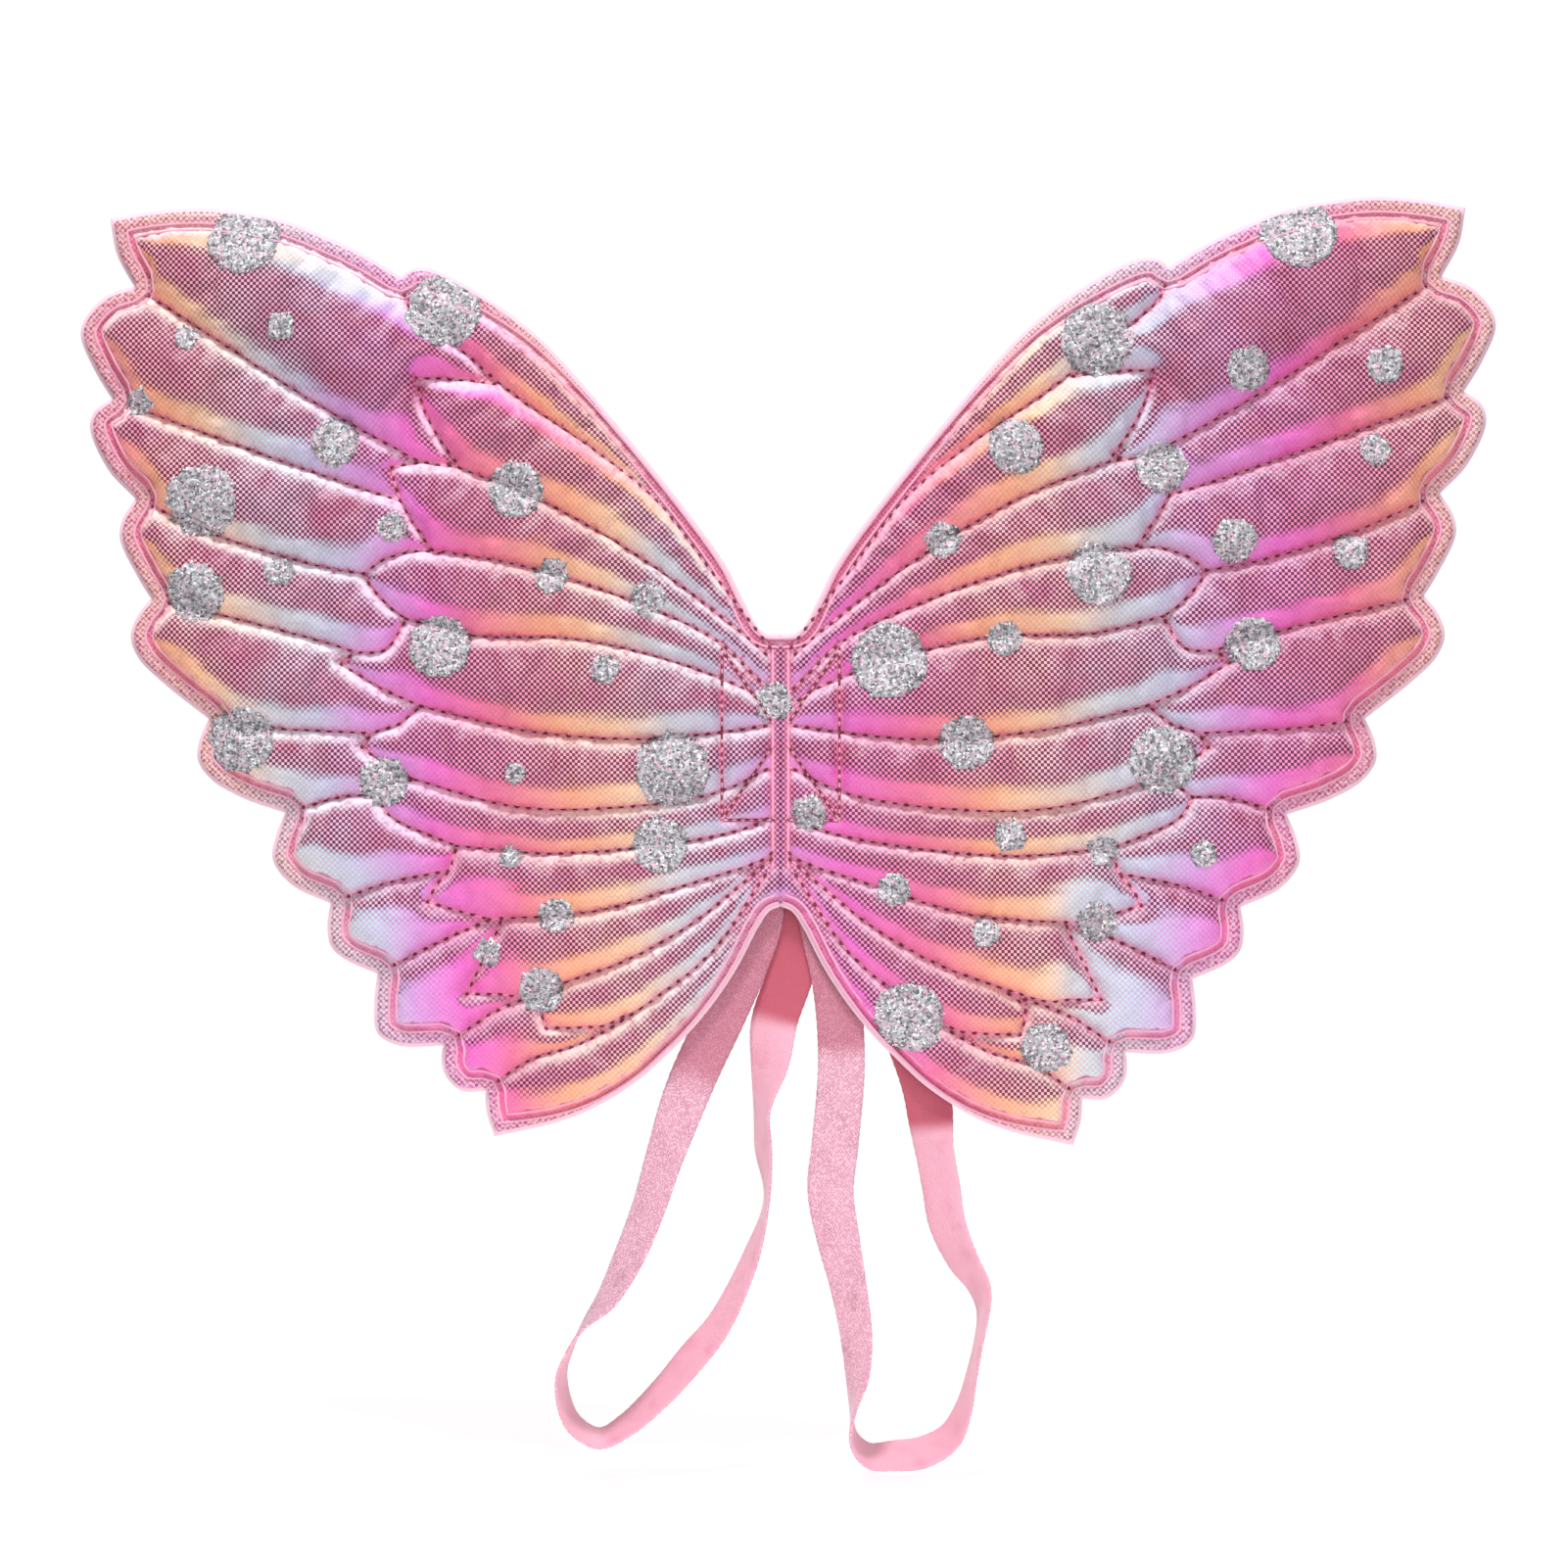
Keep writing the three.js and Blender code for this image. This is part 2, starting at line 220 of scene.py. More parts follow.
# The elastic loops: x, y and z of the band's middle, and the turn of the band in degrees,
# where 0 shows the glittery face to the front and 180 the plain one.
STRAPS = {
    "left_strap": [
        (-9, -2.3, -28.4, 0), (-9, -2.3, -34, 0), (-7.5, -2.3, -47, 0), (-6.5, -2.3, -58, 0),
        (-11, -2.4, -72.5, 0), (-18, -2.8, -88.5, 0), (-28.5, -3.5, -111, 10),
        (-36.5, -4, -133, 35), (-42.5, -4, -152, 45), (-48.5, -4, -167, 50), (-56, -4, -181, 65),
        (-63, -4, -189, 86), (-67.5, -3, -197, 95), (-70.5, -1, -207, 100), (-67, 1, -221, 104),
        (-58.5, 2, -226.5, 106), (-50, 2.5, -222.5, 112), (-38.5, 3, -212, 120),
        (-28.5, 3, -200.5, 125), (-20, 3, -190, 120), (-9.5, 2, -168, 108), (-4.5, 1, -150, 94),
        (-5.5, 0, -134, 110), (-6, -0.5, -120, 110), (-3.5, -0.8, -105, 145), (-2, -0.8, -92, 170),
        (3.5, -0.7, -75, 180), (4, -0.7, -60, 180), (-1.5, -0.7, -47, 180), (-9, -0.8, -34, 180),
        (-9, -0.8, -28.4, 180),
    ],
    "right_strap": [
        (10.5, -2.3, -28.4, 0), (10.5, -2.3, -38, 0), (13.5, -2.3, -60, 0), (18, -2.5, -82, 0),
        (19.5, -3, -105, 0), (17.5, -3.5, -131, 0), (16, -4, -146, 12), (18.5, -4, -162, 25),
        (21.5, -4, -176, 38), (24, -4, -191, 46), (24.5, -4, -205, 60), (23, -3.5, -216, 84),
        (23.5, -2, -226.5, 100), (28.5, 0, -231.8, 112), (36.5, 1, -232, 120), (46, 2, -231, 122),
        (54.5, 2.5, -226, 116), (59, 3, -217, 106), (61.5, 3, -207, 99), (63.5, 2.5, -197, 96),
        (65, 2, -187, 100), (63.5, 1, -177.5, 120), (58.5, 0, -169, 132), (53.5, -0.5, -157, 140),
        (51.5, -0.8, -145, 142), (49, -0.8, -131, 146), (47, -0.8, -115, 180), (41, -0.8, -97, 180),
        (30, -0.8, -72, 180), (14.5, -0.8, -45, 180), (10.5, -0.8, -34, 180),
        (10.5, -0.8, -28.4, 180),
    ],
}


# ---------------------------------------------------------------- curves
def smooth_line(points, step):
    """A centripetal Catmull-Rom line through the points, with samples at most step apart."""
    p = np.array(points, float)
    ends = np.vstack([2 * p[0] - p[1], p, 2 * p[-1] - p[-2]])
    out = []
    for i in range(len(p) - 1):
        p0, p1, p2, p3 = ends[i:i + 4]
        gaps = [np.linalg.norm(b[:3] - a[:3]) ** 0.5 for a, b in ((p0, p1), (p1, p2), (p2, p3))]
        t0, t1, t2, t3 = np.concatenate([[0], np.cumsum(gaps)])
        count = max(2, math.ceil(np.linalg.norm(p2 - p1) / step - 1e-9))
        t = np.linspace(t1, t2, count, endpoint=False)[:, None]
        a1 = ((t1 - t) * p0 + (t - t0) * p1) / (t1 - t0)
        a2 = ((t2 - t) * p1 + (t - t1) * p2) / (t2 - t1)
        a3 = ((t3 - t) * p2 + (t - t2) * p3) / (t3 - t2)
        b1 = ((t2 - t) * a1 + (t - t0) * a2) / (t2 - t0)
        b2 = ((t3 - t) * a2 + (t - t1) * a3) / (t3 - t1)
        out.append(((t2 - t) * b1 + (t - t1) * b2) / (t2 - t1))
    return np.vstack([*out, p[-1:]])


def lengths_along(line):
    """The length of a line up to each of its samples."""
    return np.concatenate([[0], np.cumsum(np.linalg.norm(np.diff(line, axis=0), axis=1))])


def evenly(line, step):
    """The same line with its samples step apart, or as near as fits."""
    run = lengths_along(line)
    at = np.linspace(0, run[-1], max(2, round(run[-1] / step) + 1))
    return np.column_stack([np.interp(at, run, line[:, k]) for k in range(line.shape[1])])


def unit(vectors):
    return vectors / np.maximum(np.linalg.norm(vectors, axis=1, keepdims=True), 1e-9)


def directions(line):
    """The unit direction of a line at each of its samples."""
    return unit(np.gradient(line, axis=0))


def sideways(line):
    """The unit direction square to a flat line: inwards, for the outline."""
    d = directions(line)
    return np.column_stack([d[:, 1], -d[:, 0]])


def nearest(points, tree_points):
    """Distance from each point to the nearest of tree_points, both (x, z)."""
    tree = kdtree.KDTree(len(tree_points))
    for i, (x, z) in enumerate(tree_points):
        tree.insert((x, 0, z), i)
    tree.balance()
    return np.array([tree.find((x, 0, z))[2] for x, z in points])


def smoothstep(low, high, value):
    t = np.clip((value - low) / (high - low), 0, 1)
    return t * t * (3 - 2 * t)


def lay_flat(points, side):
    """The right wing lies pulled a little flatter, and so a little larger, than the left."""
    if side == "left":
        return points
    share = 1 + STRETCH * smoothstep(0, 70, points[:, :1])
    return points * np.hstack([share, np.ones_like(share), share])


def between_cells(field, i, j, fu, fv):
    """Values of a field at shares fu and fv of the way past its cells i and j."""
    low = field[i, j] * (1 - fu) + field[i + 1, j] * fu
    high = field[i, j + 1] * (1 - fu) + field[i + 1, j + 1] * fu
    return low * (1 - fv) + high * fv


def noise_field(x, z, size, seed):
    """Smooth random values from -1 to 1 over the plane, with lumps of about the given size."""
    grid = np.random.default_rng(seed).uniform(-1, 1, (128, 128))
    u, v = x / size + 64.5, z / size + 64.5
    i, j = np.floor(u).astype(int) % 127, np.floor(v).astype(int) % 127
    fu, fv = u - np.floor(u), v - np.floor(v)
    fu, fv = fu * fu * (3 - 2 * fu), fv * fv * (3 - 2 * fv)
    return between_cells(grid, i, j, fu, fv)


def border_inset(x):
    """How far the border seam lies from the edge at a distance x from the spine."""
    return BORDER_NEAR + (BORDER_FAR - BORDER_NEAR) * smoothstep(45, 115, np.abs(x))


# ---------------------------------------------------------------- the flat pattern of one wing
def edge_line(step):
    """The wing's free edge, from the V at the top of the spine to the arch at its foot."""
    rows = [evenly(smooth_line(row, 1.0), step) for row in OUTLINE]
    return np.vstack([row[:-1] for row in rows] + [rows[-1][-1:]])


def inner_offset(line, distances):
    """The line moved inwards by a distance for each sample, with the crossed-over parts cut out."""
    moved = line + sideways(line) * distances[:, None]
    kept = nearest(moved, line) > distances - 0.12
    return moved[kept & (moved[:, 0] >= 0)]


def crossings(edge, level):
    """The x of each place where a line passes a level of z."""
    (ax, az), (bx, bz) = edge[:-1].T, edge[1:].T
    hit = (az < level) != (bz < level)
    return ax[hit] + (bx - ax)[hit] * (level - az[hit]) / (bz - az)[hit]


def behind_wings(points):
    """True for the (x, z) points that lie within the outline."""
    edge = edge_line(1.0)
    return np.array([(crossings(edge, z) > abs(x)).sum() % 2 == 1 for x, z in points])


def seam_lines():
    """Every feather seam as an evenly sampled line, cut back to the border seam."""
    edge = edge_line(0.7)
    lines = []
    for row in INNER_SEAMS + OUTER_SEAMS + FEATHER_ENDS:
        line = evenly(smooth_line(row, 1.0), 0.8)
        inside = nearest(line, edge) > border_inset(line[:, 0]) - 0.2
        inside &= line[:, 0] > SPINE_HALF
        if inside.sum() > 4:
            lines.append(line[inside])
    return lines


def border_line():
    edge = edge_line(0.5)
    return inner_offset(edge, border_inset(edge[:, 0]))


def spine_line():
    return np.column_stack([np.full(90, SPINE_HALF), np.linspace(SPINE_TOP, SPINE_FOOT, 90)])


def box_lines():
    """Half of the box stitch and its cross: side, foot, and the two strokes of the cross."""
    x, z, near = BOX_HALF_X, BOX_HALF_Z, SPINE_HALF
    rise = z * near / x
    ends = [[(x, z), (x, -z)], [(x, -z), (near, -z)], [(x, z), (near, rise)],
            [(x, -z), (near, -rise)]]
    return [np.array(line, float) for line in ends]


def box_points(step):
    return np.vstack([evenly(line, step) for line in box_lines()])


# ---------------------------------------------------------------- the padding's height
class Padding:
    """The height of the quilted padding above its seams, as a field over the right wing.

    It is the shape of a film blown up between the seams, with a rounder profile."""

    def __init__(self):
        p = FIELD_PITCH
        self.x0, self.z0 = FIELD_LOW
        self.xs, self.zs = (low + p * np.arange(int(size / p))
                            for low, size in zip(FIELD_LOW, FIELD_SIZE))
        gx, gz = np.meshgrid(self.xs, self.zs, indexing="ij")
        edge = edge_line(0.5)
        inside = self.fill(edge)
        cells = np.column_stack([gx[inside], gz[inside]])
        self.edge_distance = np.zeros(gx.shape)
        self.edge_distance[inside] = nearest(cells, edge)
        padded = inside & (self.edge_distance > border_inset(gx)) | (gx < 0)
        for line in seam_lines() + [spine_line(), border_line()]:
            padded[self.cell(evenly(line, p / 3))] = False
        self.leading = self.leading_feathers(padded)
        self.film = self.blow_up(padded)
        width = np.sqrt(2 * np.maximum(self.film, 0))
        slope_x, slope_z = np.gradient(self.film, p)
        steep = np.hypot(slope_x, slope_z)
        self.span = np.sqrt(2 * self.film + steep ** 2) + 0.4
        self.across = steep / self.span * np.tanh(3 * slope_z / self.span)
        height = 1 - np.exp(-(width / PUFF_WIDTH) ** 1.4)
        height *= 1 + noise_field(gx, gz, 5.5, 3) * 0.07 + noise_field(gx, gz, 13, 4) * 0.06
        near_box = (np.abs(gx) < 30) & (np.abs(gz) < 40)
        pressed = np.zeros(gx.shape)
        close = nearest(np.column_stack([gx[near_box], gz[near_box]]), box_points(0.8))
        pressed[near_box] = np.exp(-(close / 1.6) ** 2)
        self.height = height * (1 - 0.72 * pressed)

    def cell(self, points):
        """The cells that (x, z) points of either wing lie in."""
        i = np.round((np.abs(points[:, 0]) - self.x0) / FIELD_PITCH).astype(int)
        j = np.round((points[:, 1] - self.z0) / FIELD_PITCH).astype(int)
        return np.clip(i, 0, len(self.xs) - 1), np.clip(j, 0, len(self.zs) - 1)

    def fill(self, edge):
        """True for each cell inside the wing, found along rows of constant z."""
        inside = np.zeros((len(self.xs), len(self.zs)), bool)
        for j, level in enumerate(self.zs):
            ends = np.sort(crossings(edge, level))
            if len(ends) % 2:
                ends = np.concatenate([[-1e3], ends])
            for low, high in ends.reshape(-1, 2):
                inside[(self.xs >= low) & (self.xs <= high), j] = True
        return inside

    def blow_up(self, padded):
        """The height of a film under light pressure that is held wherever nothing is padded."""
        film = np.zeros(padded.shape)
        core = padded[1:-1, 1:-1]
        i, j = np.indices(core.shape)
        colours = [core & ((i + j) % 2 == c) for c in (0, 1)]
        middle = film[1:-1, 1:-1]
        for _ in range(350):
            for cells in colours:
                around = film[2:, 1:-1] + film[:-2, 1:-1] + film[1:-1, 2:] + film[1:-1, :-2]
                wanted = (around + FIELD_PITCH ** 2) / 4
                middle[cells] += 1.85 * (wanted - middle)[cells]
        return film

    def leading_feathers(self, padded):
        """True for the cells of the two feathers along the top edge."""
        found = np.zeros(padded.shape, bool)
        nx, nz = padded.shape
        queue = list(zip(*self.cell(np.array(LEADING_FEATHERS))))
        while queue:
            i, j = queue.pop()
            if 0 <= i < nx and 0 <= j < nz and padded[i, j] and not found[i, j]:
                found[i, j] = True
                queue += [(i + 1, j), (i - 1, j), (i, j + 1), (i, j - 1)]
        return found

    def sample(self, field, points):
        """Reads a field at (x, z) points of either wing."""
        u = (np.abs(points[:, 0]) - self.x0) / FIELD_PITCH
        v = (points[:, 1] - self.z0) / FIELD_PITCH
        i = np.clip(u.astype(int), 0, field.shape[0] - 2)
        j = np.clip(v.astype(int), 0, field.shape[1] - 2)
        return between_cells(field, i, j, u - i, v - j)

    def flange(self, points):
        """The soft swell of the border between the seam and the edge, from 0 to 1."""
        distance = self.sample(self.edge_distance, points)
        share = np.clip(distance / border_inset(points[:, 0]), 0, 1)
        return np.sin(np.pi * share) * (share < 1)

    def front(self, points):
        """y of the cover's outer surface, in millimetres."""
        swell = 0.75 * self.flange(points)
        return MIDDLE_Y - COVER_THICK - swell - PUFF_HEIGHT * self.sample(self.height, points)

    def back(self, points):
        """y of the backing's outer surface, in millimetres."""
        share = BACK_PUFF + (OUTER_BACK_PUFF - BACK_PUFF) * smoothstep(55, 95, np.abs(points[:, 0]))
        puff = share * PUFF_HEIGHT * self.sample(self.height, points)
        return MIDDLE_Y + BACKING_THICK + puff + 0.25 * self.flange(points)


# ---------------------------------------------------------------- meshes
def add_object(name, data):
    obj = bpy.data.objects.new(name, data)
    bpy.context.scene.collection.objects.link(obj)
    return obj


def make_object(name, vertices, faces, materials, uvs=None, attributes=None, slots=None):
    """An object from vertices in millimetres. uvs are the places of the vertices on the flat
    pattern, and are stored in decimetres, so that a print stays on the fabric."""
    mesh = bpy.data.meshes.new(name)
    mesh.from_pydata(np.asarray(vertices) * MM, [], faces)
    for material in materials:
        mesh.materials.append(material)
    if uvs is not None:
        layer = mesh.uv_layers.new(name="Pattern")
        corners = np.empty(len(mesh.loops), int)
        mesh.loops.foreach_get("vertex_index", corners)
        layer.data.foreach_set("uv", (np.asarray(uvs) / 100)[corners].astype(np.float32).ravel())
    for key, values in (attributes or {}).items():
        attribute = mesh.attributes.new(key, "FLOAT", "POINT")
        attribute.data.foreach_set("value", np.asarray(values, np.float32))
    if slots is not None:
        mesh.polygons.foreach_set("material_index", np.asarray(slots, np.int32))
    mesh.shade_smooth()
    mesh.update()
    return add_object(name, mesh)


def wing_piece(side, name, vertices, faces, materials, uvs, attributes=None, slots=None):
    """A piece of one wing, laid flat for its side, with its place baked into its vertices."""
    piece = make_object(side + name, lay_flat(vertices, side), faces, materials, uvs, attributes,
                        slots)
    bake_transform(piece)
    return piece


def at_depth(points, y):
    """Points in three dimensions from (x, z) points and their y."""
    return np.column_stack([points[:, 0], np.broadcast_to(y, len(points)), points[:, 1]])


def hex_points(line, pitch):
    """Points of a triangular grid over the box of a line."""
    low, high = line.min(0), line.max(0)
    rows = np.arange(low[1], high[1], pitch * 0.866)
    out = []
    for k, z in enumerate(rows):
        x = np.arange(low[0], high[0], pitch) + (k % 2) * pitch / 2
        out.append(np.column_stack([x, np.full(len(x), z)]))
    return np.vstack(out)


def thinned(points, gap):
    """True for points that are left when no two may stand closer than gap."""
    cells, kept = set(), np.zeros(len(points), bool)
    for n, (x, z) in enumerate(points):
        i, j = int(x // gap), int(z // gap)
        if not any((a, b) in cells for a in (i - 1, i, i + 1) for b in (j - 1, j, j + 1)):
            cells.add((i, j))
            kept[n] = True
    return kept


def triangulate(side, rim, creases, pitch, extra=()):
    """Points and triangles of one wing's flat pattern, with edges along every crease.

    rim is the free edge on the right wing, and the middle of the spine closes it. Points are
    added on a triangular grid, and at extra."""
    sign = SIDES[side]
    top, foot = rim[0, 1], rim[-1, 1]
    middle = np.linspace(foot, top, round((top - foot) / pitch))[1:-1]
    closed = np.vstack([rim, np.column_stack([np.zeros(len(middle)), middle])])
    fixed = np.vstack([closed, *creases])
    grid = hex_points(closed, pitch)
    inside = PADDING.sample(PADDING.edge_distance, grid) > 0.7 * pitch + COVER_INSET * 0.6
    grid = grid[inside & (grid[:, 0] > 0.5 * pitch)]
    grid = grid[nearest(grid, fixed) > 0.62 * pitch]
    if len(extra):
        roomy = PADDING.sample(PADDING.edge_distance, extra) > 0.6 * pitch + COVER_INSET
        extra = extra[roomy & (extra[:, 0] > 0.5 * pitch)]
        grid = grid[nearest(grid, extra) > 0.7 * pitch]
        grid = np.vstack([extra[thinned(extra, 0.7)], grid])
    points = np.vstack([fixed, grid]) * (sign, 1)
    edges = []
    start = len(closed)
    for crease in creases:
        edges += [(start + k, start + k + 1) for k in range(len(crease) - 1)]
        start += len(crease)
    ring = list(range(len(closed)))
    if sign > 0:
        ring.reverse()
    flat = geometry.delaunay_2d_cdt([Vector(p) for p in points], edges, [ring], 1, 1e-3)
    made = np.array([tuple(v) for v in flat[0]])
    return made, [tuple(f) for f in flat[2]]


def rim_edges(faces):
    """The directed edges that only one face uses, in the order of the faces."""
    used = dict.fromkeys(edge for face in faces for edge in zip(face, face[1:] + face[:1]))
    return [(a, b) for a, b in used if (b, a) not in used]


def closed_sheet(outer, inner, faces):
    """Vertices and faces of a sheet between two surfaces that share their pattern."""
    count = len(outer)
    back = [tuple(count + i for i in reversed(face)) for face in faces]
    walls = [(b, a, count + a, count + b) for a, b in rim_edges(faces)]
    return np.vstack([outer, inner]), list(faces) + back + walls


def surface_normals(vertices, faces):
    """Area-weighted unit normals at the vertices of a triangle mesh."""
    f = np.array(faces)
    a, b, c = vertices[f[:, 0]], vertices[f[:, 1]], vertices[f[:, 2]]
    n = np.cross(b - a, c - a)
    out = np.zeros_like(vertices)
    for k in range(3):
        np.add.at(out, f[:, k], n)
    return unit(out)


def neighbour_mean(values, faces, rounds):
    """Values at the vertices, evened out over their neighbours."""
    f = np.array(faces)
    a = np.concatenate([f[:, 0], f[:, 1], f[:, 2]])
    b = np.concatenate([f[:, 1], f[:, 2], f[:, 0]])
    count = np.bincount(a, minlength=len(values)) + np.bincount(b, minlength=len(values))
    for _ in range(rounds):
        total = np.bincount(a, values[b], len(values)) + np.bincount(b, values[a], len(values))
        values = 0.5 * values + 0.5 * total / np.maximum(count, 1)
    return values


# ---------------------------------------------------------------- stitches, piping
def capsule(length, radius, flat, sides=6, rings=4):
    """Vertices and faces of a short round-ended rod along X, with its Y size scaled by flat."""
    vertices, faces = [(-length / 2 - radius * 0.8, 0, 0)], []
    for k in range(rings):
        x = (k / (rings - 1) - 0.5) * length
        r = radius * (0.75 if k in (0, rings - 1) else 1.0)
        for s in range(sides):
            a = 2 * math.pi * s / sides
            vertices.append((x, r * flat * math.cos(a), r * math.sin(a)))
    vertices.append((length / 2 + radius * 0.8, 0, 0))
    for s in range(sides):
        t = (s + 1) % sides
        faces.append((0, 1 + t, 1 + s))
        for k in range(rings - 1):
            a, b = 1 + k * sides, 1 + (k + 1) * sides
            faces.append((a + s, a + t, b + t, b + s))
        last = 1 + (rings - 1) * sides
        faces.append((last + s, last + t, len(vertices) - 1))
    return np.array(vertices, float), faces


def scatter(shape, places, alongs, out):
    """Copies of one small mesh, each with its X along a direction and its -Y outwards."""
    vertices, faces = shape
    every, all_faces = [], []
    for n, (place, along) in enumerate(zip(places, alongs)):
        along = along / np.linalg.norm(along)
        across = np.cross(along, (0, out, 0))
        across /= np.linalg.norm(across)
        y = np.cross(across, along)
        every.append(place + vertices @ np.array([along, y, across]))
        all_faces += [tuple(n * len(vertices) + i for i in face) for face in faces]
    return np.vstack(every), all_faces


def sew(parts, shape, place, chosen, out, kind):
    """Adds a copy of shape at each chosen sample of a line on the fabric.

    out is -1 on the front and 1 on the back."""
    if chosen.any():
        parts.append((*scatter(shape, place[chosen], directions(place)[chosen], out), kind))


def odd_samples(place):
    return np.arange(len(place)) % 2 == 1


def tube_faces(rows, sides):
    """Quads between rings of vertices, and the two ends."""
    faces = []
    for k in range(rows - 1):
        for s in range(sides):
            t = (s + 1) % sides
            faces.append((k * sides + s, k * sides + t, (k + 1) * sides + t, (k + 1) * sides + s))
    return faces + [tuple(reversed(range(sides))), tuple(range((rows - 1) * sides, rows * sides))]


def tube(path, radius, sides=6):
    """A tube along a path, with narrower ends."""
    d = directions(path)
    across = unit(np.cross(d, (0, 1, 0)))
    up = np.cross(across, d)
    vertices = []
    for k, point in enumerate(path):
        r = radius * (0.5 if k in (0, len(path) - 1) else 1.0)
        for s in range(sides):
            a = 2 * math.pi * s / sides
            vertices.append(point + r * (math.cos(a) * across[k] + math.sin(a) * up[k]))
    return np.array(vertices), tube_faces(len(path), sides)


def joined(parts):
    """One vertex array and face list from several, with the index of each part's faces."""
    vertices, faces, kinds, start = [], [], [], 0
    for part_vertices, part_faces, kind in parts:
        vertices.append(part_vertices)
        faces += [tuple(start + i for i in face) for face in part_faces]
        kinds += [kind] * len(part_faces)
        start += len(part_vertices)
    return np.vstack(vertices), faces, kinds


# ---------------------------------------------------------------- materials
def linear(red, green, blue):
    """A colour given as sRGB bytes, as Blender's linear colour."""
    out = []
    for c in (red, green, blue):
        c /= 255
        out.append(c / 12.92 if c <= 0.04045 else ((c + 0.055) / 1.055) ** 2.4)
    return (*out, 1.0)


class Nodes:
    """A short way to build a node tree. Colours are given as sRGB bytes."""

    def __init__(self, name):
        self.material = bpy.data.materials.new(name)
        self.material.use_nodes = True
        self.tree = self.material.node_tree
        self.shader = self.tree.nodes["Principled BSDF"]

    def put(self, socket, value):
        if isinstance(value, bpy.types.NodeSocket):
            self.tree.links.new(value, socket)
        else:
            socket.default_value = linear(*value) if socket.type == "RGBA" else value

    def add(self, kind, inputs=(), output=0, **settings):
        node = self.tree.nodes.new(kind)
        for key, value in settings.items():
            setattr(node, key, value)
        for key, value in dict(inputs).items():
            self.put(node.inputs[key], value)
        return node.outputs[output]

    def maths(self, operation, *values):
        return self.add("ShaderNodeMath", dict(enumerate(values)), operation=operation)

    def times(self, first, second):
        return self.maths("MULTIPLY", first, second)

    def scaled(self, value, factor, offset):
        return self.maths("MULTIPLY_ADD", value, factor, offset)

    def mix(self, share, first, second, blend="MIX"):
        inputs = {0: share, 6: first, 7: second}
        return self.add("ShaderNodeMix", inputs, 2, data_type="RGBA", blend_type=blend)

    def step(self, value, low, high):
        inputs = {"Value": value, "From Min": low, "From Max": high}
        return self.add("ShaderNodeMapRange", inputs, interpolation_type="SMOOTHSTEP")

    def attribute(self, name):
        return self.add("ShaderNodeAttribute", output=2, attribute_name=name)

    def pattern(self, scale=(1, 1, 1), turn=0.0):
        """The flat pattern's coordinates, in decimetres before scaling."""
        uv = self.add("ShaderNodeUVMap", uv_map="Pattern")
        inputs = {"Vector": uv, "Rotation": (0, 0, turn), "Scale": scale}
        return self.add("ShaderNodeMapping", inputs)

    def noise(self, scale, detail, vector=None):
        if vector is None:
            vector = self.pattern()
        inputs = {"Vector": vector, "Scale": scale, "Detail": detail}
        return self.add("ShaderNodeTexNoise", inputs)

    def split(self, vector):
        """The outputs that hold the three parts of a vector or a colour."""
        node = self.tree.nodes.new("ShaderNodeSeparateXYZ")
        self.put(node.inputs[0], vector)
        return node.outputs

    def cells(self, scale):
        """Three random values for each cell of a pattern of small grains."""
        inputs = {"Vector": self.pattern(), "Scale": scale}
        return self.split(self.add("ShaderNodeTexVoronoi", inputs, "Color"))

    def ramp(self, value, stops):
        node = self.tree.nodes.new("ShaderNodeValToRGB")
        self.put(node.inputs[0], value)
        elements = node.color_ramp.elements
        while len(elements) < len(stops):
            elements.new(0.5)
        for element, (place, colour) in zip(elements, stops):
            element.position = place
            element.color = linear(*colour)
        return node.outputs[0]

    def waves(self, operation, pitch_x, pitch_y, turn=0.0):
        """Two waves at right angles over the pattern, with their pitches in millimetres."""
        cycle = 2 * math.pi * 100
        place = self.split(self.pattern((cycle / pitch_x, cycle / pitch_y, 1), turn))
        return self.maths(operation, place[0]), self.maths(operation, place[1])

    def weave(self, pitch_x, pitch_y):
        """A plain weave, from 0 to 1."""
        return self.scaled(self.times(*self.waves("SINE", pitch_x, pitch_y)), 0.5, 0.5)

    def finish(self, colour, roughness, height=None, strength=0.0, distance=0.0, **constants):
        """Sets the shader. height is that of a bump with a strength and a distance in metres."""
        self.put(self.shader.inputs["Base Color"], colour)
        self.put(self.shader.inputs["Roughness"], roughness)
        if height is not None:
            inputs = {"Height": height, "Strength": strength, "Distance": distance}
            self.put(self.shader.inputs["Normal"], self.add("ShaderNodeBump", inputs))
        for key, value in constants.items():
            self.put(self.shader.inputs[key.replace("_", " ")], value)
        return self.material


BANDS = [
    (0.00, (255, 182, 132)), (0.13, (250, 214, 170)), (0.26, (204, 222, 226)),
    (0.38, (194, 212, 236)), (0.51, (218, 160, 232)), (0.65, (242, 108, 210)),
    (0.82, (242, 118, 158)), (1.00, (255, 182, 132)),
]
GLINT_GREYS = [
    (0.0, (84, 80, 86)), (0.3, (140, 138, 142)), (0.6, (172, 172, 178)), (0.85, (200, 200, 206)),
    (1.0, (244, 244, 246)),
]


def rainbow(n):
    """The foil's rainbow, in upright bands that wander and lean a little."""
    place = n.split(n.pattern((100, 100, 1)))
    x = n.scaled(n.noise(1.8, 1.0), BAND_WANDER, place[0])
    x = n.scaled(place[1], 0.05, x)
    x = n.maths("SUBTRACT", x, BAND_START + BAND_WANDER / 2)
    turns = n.maths("ADD", n.maths("DIVIDE", x, BAND_PERIOD), n.attribute("shift"))
    return n.ramp(n.maths("FRACT", turns), BANDS)


